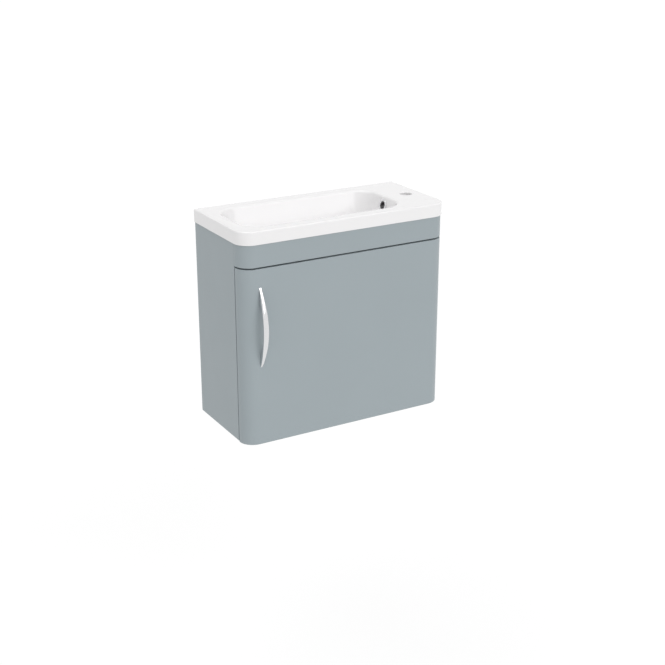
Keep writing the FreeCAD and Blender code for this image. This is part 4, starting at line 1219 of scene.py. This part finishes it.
@dataclass
class Studio:
    """The pale floor, the soft light and the camera."""

    camera_at: Point = (-1.1591, -2.1497, 1.0329)
    azimuth: float = -30.0
    elevation: float = 20.38
    lens: float = 67.80
    floor_level: float = -0.55
    floor_half: float = 40.0
    floor_colour: Colour = shade_of(0.86, 0.86, 0.86)
    floor_glow: float = 1.10
    glow_share: float = 0.70
    sky: float = 0.52
    key_from: Point = (0.15, -0.80, 0.52)
    key: float = 1.06
    overhead_from: Point = (-0.27, 0.05, 0.96)
    overhead: float = 0.85
    lamp_distance: float = 3.0
    lamp_width: float = math.radians(50)

    def build(self) -> None:
        """Make the floor, the world, the lamps and the camera."""
        self._build_floor()
        self._build_world()
        self._add_lamp("key", self.key_from, self.key)
        self._add_lamp("overhead", self.overhead_from, self.overhead)
        self._add_camera()
        bpy.context.scene.view_settings.view_transform = "Standard"

    def _build_floor(self) -> None:
        """A wide plain floor, at the height where a floor is under a hung unit."""
        half, level = self.floor_half, self.floor_level
        mesh = bpy.data.meshes.new("floor")
        mesh.from_pydata([(-half, -half, level), (half, -half, level), (half, half, level),
                          (-half, half, level)], [], [(0, 1, 2, 3)])
        made = bpy.data.materials.new("pale_floor")
        made.use_nodes = True
        graph = Graph(made.node_tree)
        seen = self._shown(graph)
        plain = graph.node("ShaderNodeBsdfDiffuse", {"Color": self.floor_colour})
        glow = graph.node("ShaderNodeEmission", {"Color": WHITE, "Strength": self.floor_glow})
        mixed = graph.node("ShaderNodeMixShader", {0: seen * self.glow_share, 1: plain, 2: glow})
        graph.node("ShaderNodeOutputMaterial", {"Surface": mixed})
        mesh.materials.append(made)
        link_new("floor", mesh)

    def _shown(self, graph: Graph) -> Value:
        """1 where the camera, a mirror or clear plastic shows the background, and 0 for its light.

        Args:
            graph: The tree of the floor or the world.

        Returns:
            The mask.
        """
        rays = graph.node("ShaderNodeLightPath").socket.node.outputs
        camera, mirror, through = (Value(graph, rays[f"Is {word} Ray"])
                                   for word in ("Camera", "Glossy", "Transmission"))
        return camera.at_least(mirror).at_least(through)

    def _build_world(self) -> None:
        """A white surround that lights the unit at a plain level."""
        world = bpy.data.worlds.new("white_surround")
        bpy.context.scene.world = world
        world.use_nodes = True
        graph = Graph(world.node_tree)
        soft = graph.node("ShaderNodeBackground", {"Color": WHITE, "Strength": self.sky})
        white = graph.node("ShaderNodeBackground", {"Color": WHITE, "Strength": 1.0})
        mixed = graph.node("ShaderNodeMixShader", {0: self._shown(graph), 1: soft, 2: white})
        graph.node("ShaderNodeOutputWorld", {"Surface": mixed})

    def _add_lamp(self, name: str, towards: Point, strength: float) -> None:
        """A wide soft lamp, far enough away to light the floor evenly.

        Args:
            name: The lamp's name.
            towards: The direction from the unit to the lamp.
            strength: Its light on a surface that faces it, in watts per square metre.
        """
        data = bpy.data.lights.new(name, "SUN")
        data.angle = self.lamp_width
        data.energy = strength
        lamp = link_new(name, data)
        lamp.location = Vector(towards) * self.lamp_distance
        lamp.rotation_mode = "QUATERNION"
        lamp.rotation_quaternion = (-Vector(towards)).to_track_quat("-Z", "Y")

    def _add_camera(self) -> None:
        """The camera at the photograph's angle."""
        data = bpy.data.cameras.new("camera")
        data.lens = self.lens
        camera = link_new("camera", data)
        turn, lift = math.radians(self.azimuth), math.radians(self.elevation)
        level = math.cos(lift)
        back = Vector((math.sin(turn) * level, -math.cos(turn) * level, math.sin(lift)))
        camera.location = self.camera_at
        camera.rotation_mode = "QUATERNION"
        camera.rotation_quaternion = (-back).to_track_quat("-Z", "Y")
        bpy.context.scene.camera = camera


def write_sizes() -> None:
    """Bring the scene's placements up to date."""
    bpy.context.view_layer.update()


def main() -> None:
    """Build the unit's looks, piece by piece, and the studio round it."""
    logging.basicConfig(level=logging.INFO, format="%(name)s: %(message)s")
    palette = Palette()
    caps, screws = DomedCaps(), CrossScrews()
    Studio().build()
    Basin(palette).build()
    Cabinet(palette).build()
    Door(palette, caps, screws).build()
    Hinges(palette, screws).build()
    Hangers(palette, screws).build()
    Fixings(palette, caps).build()
    write_sizes()


if __name__ == "__main__":
    main()
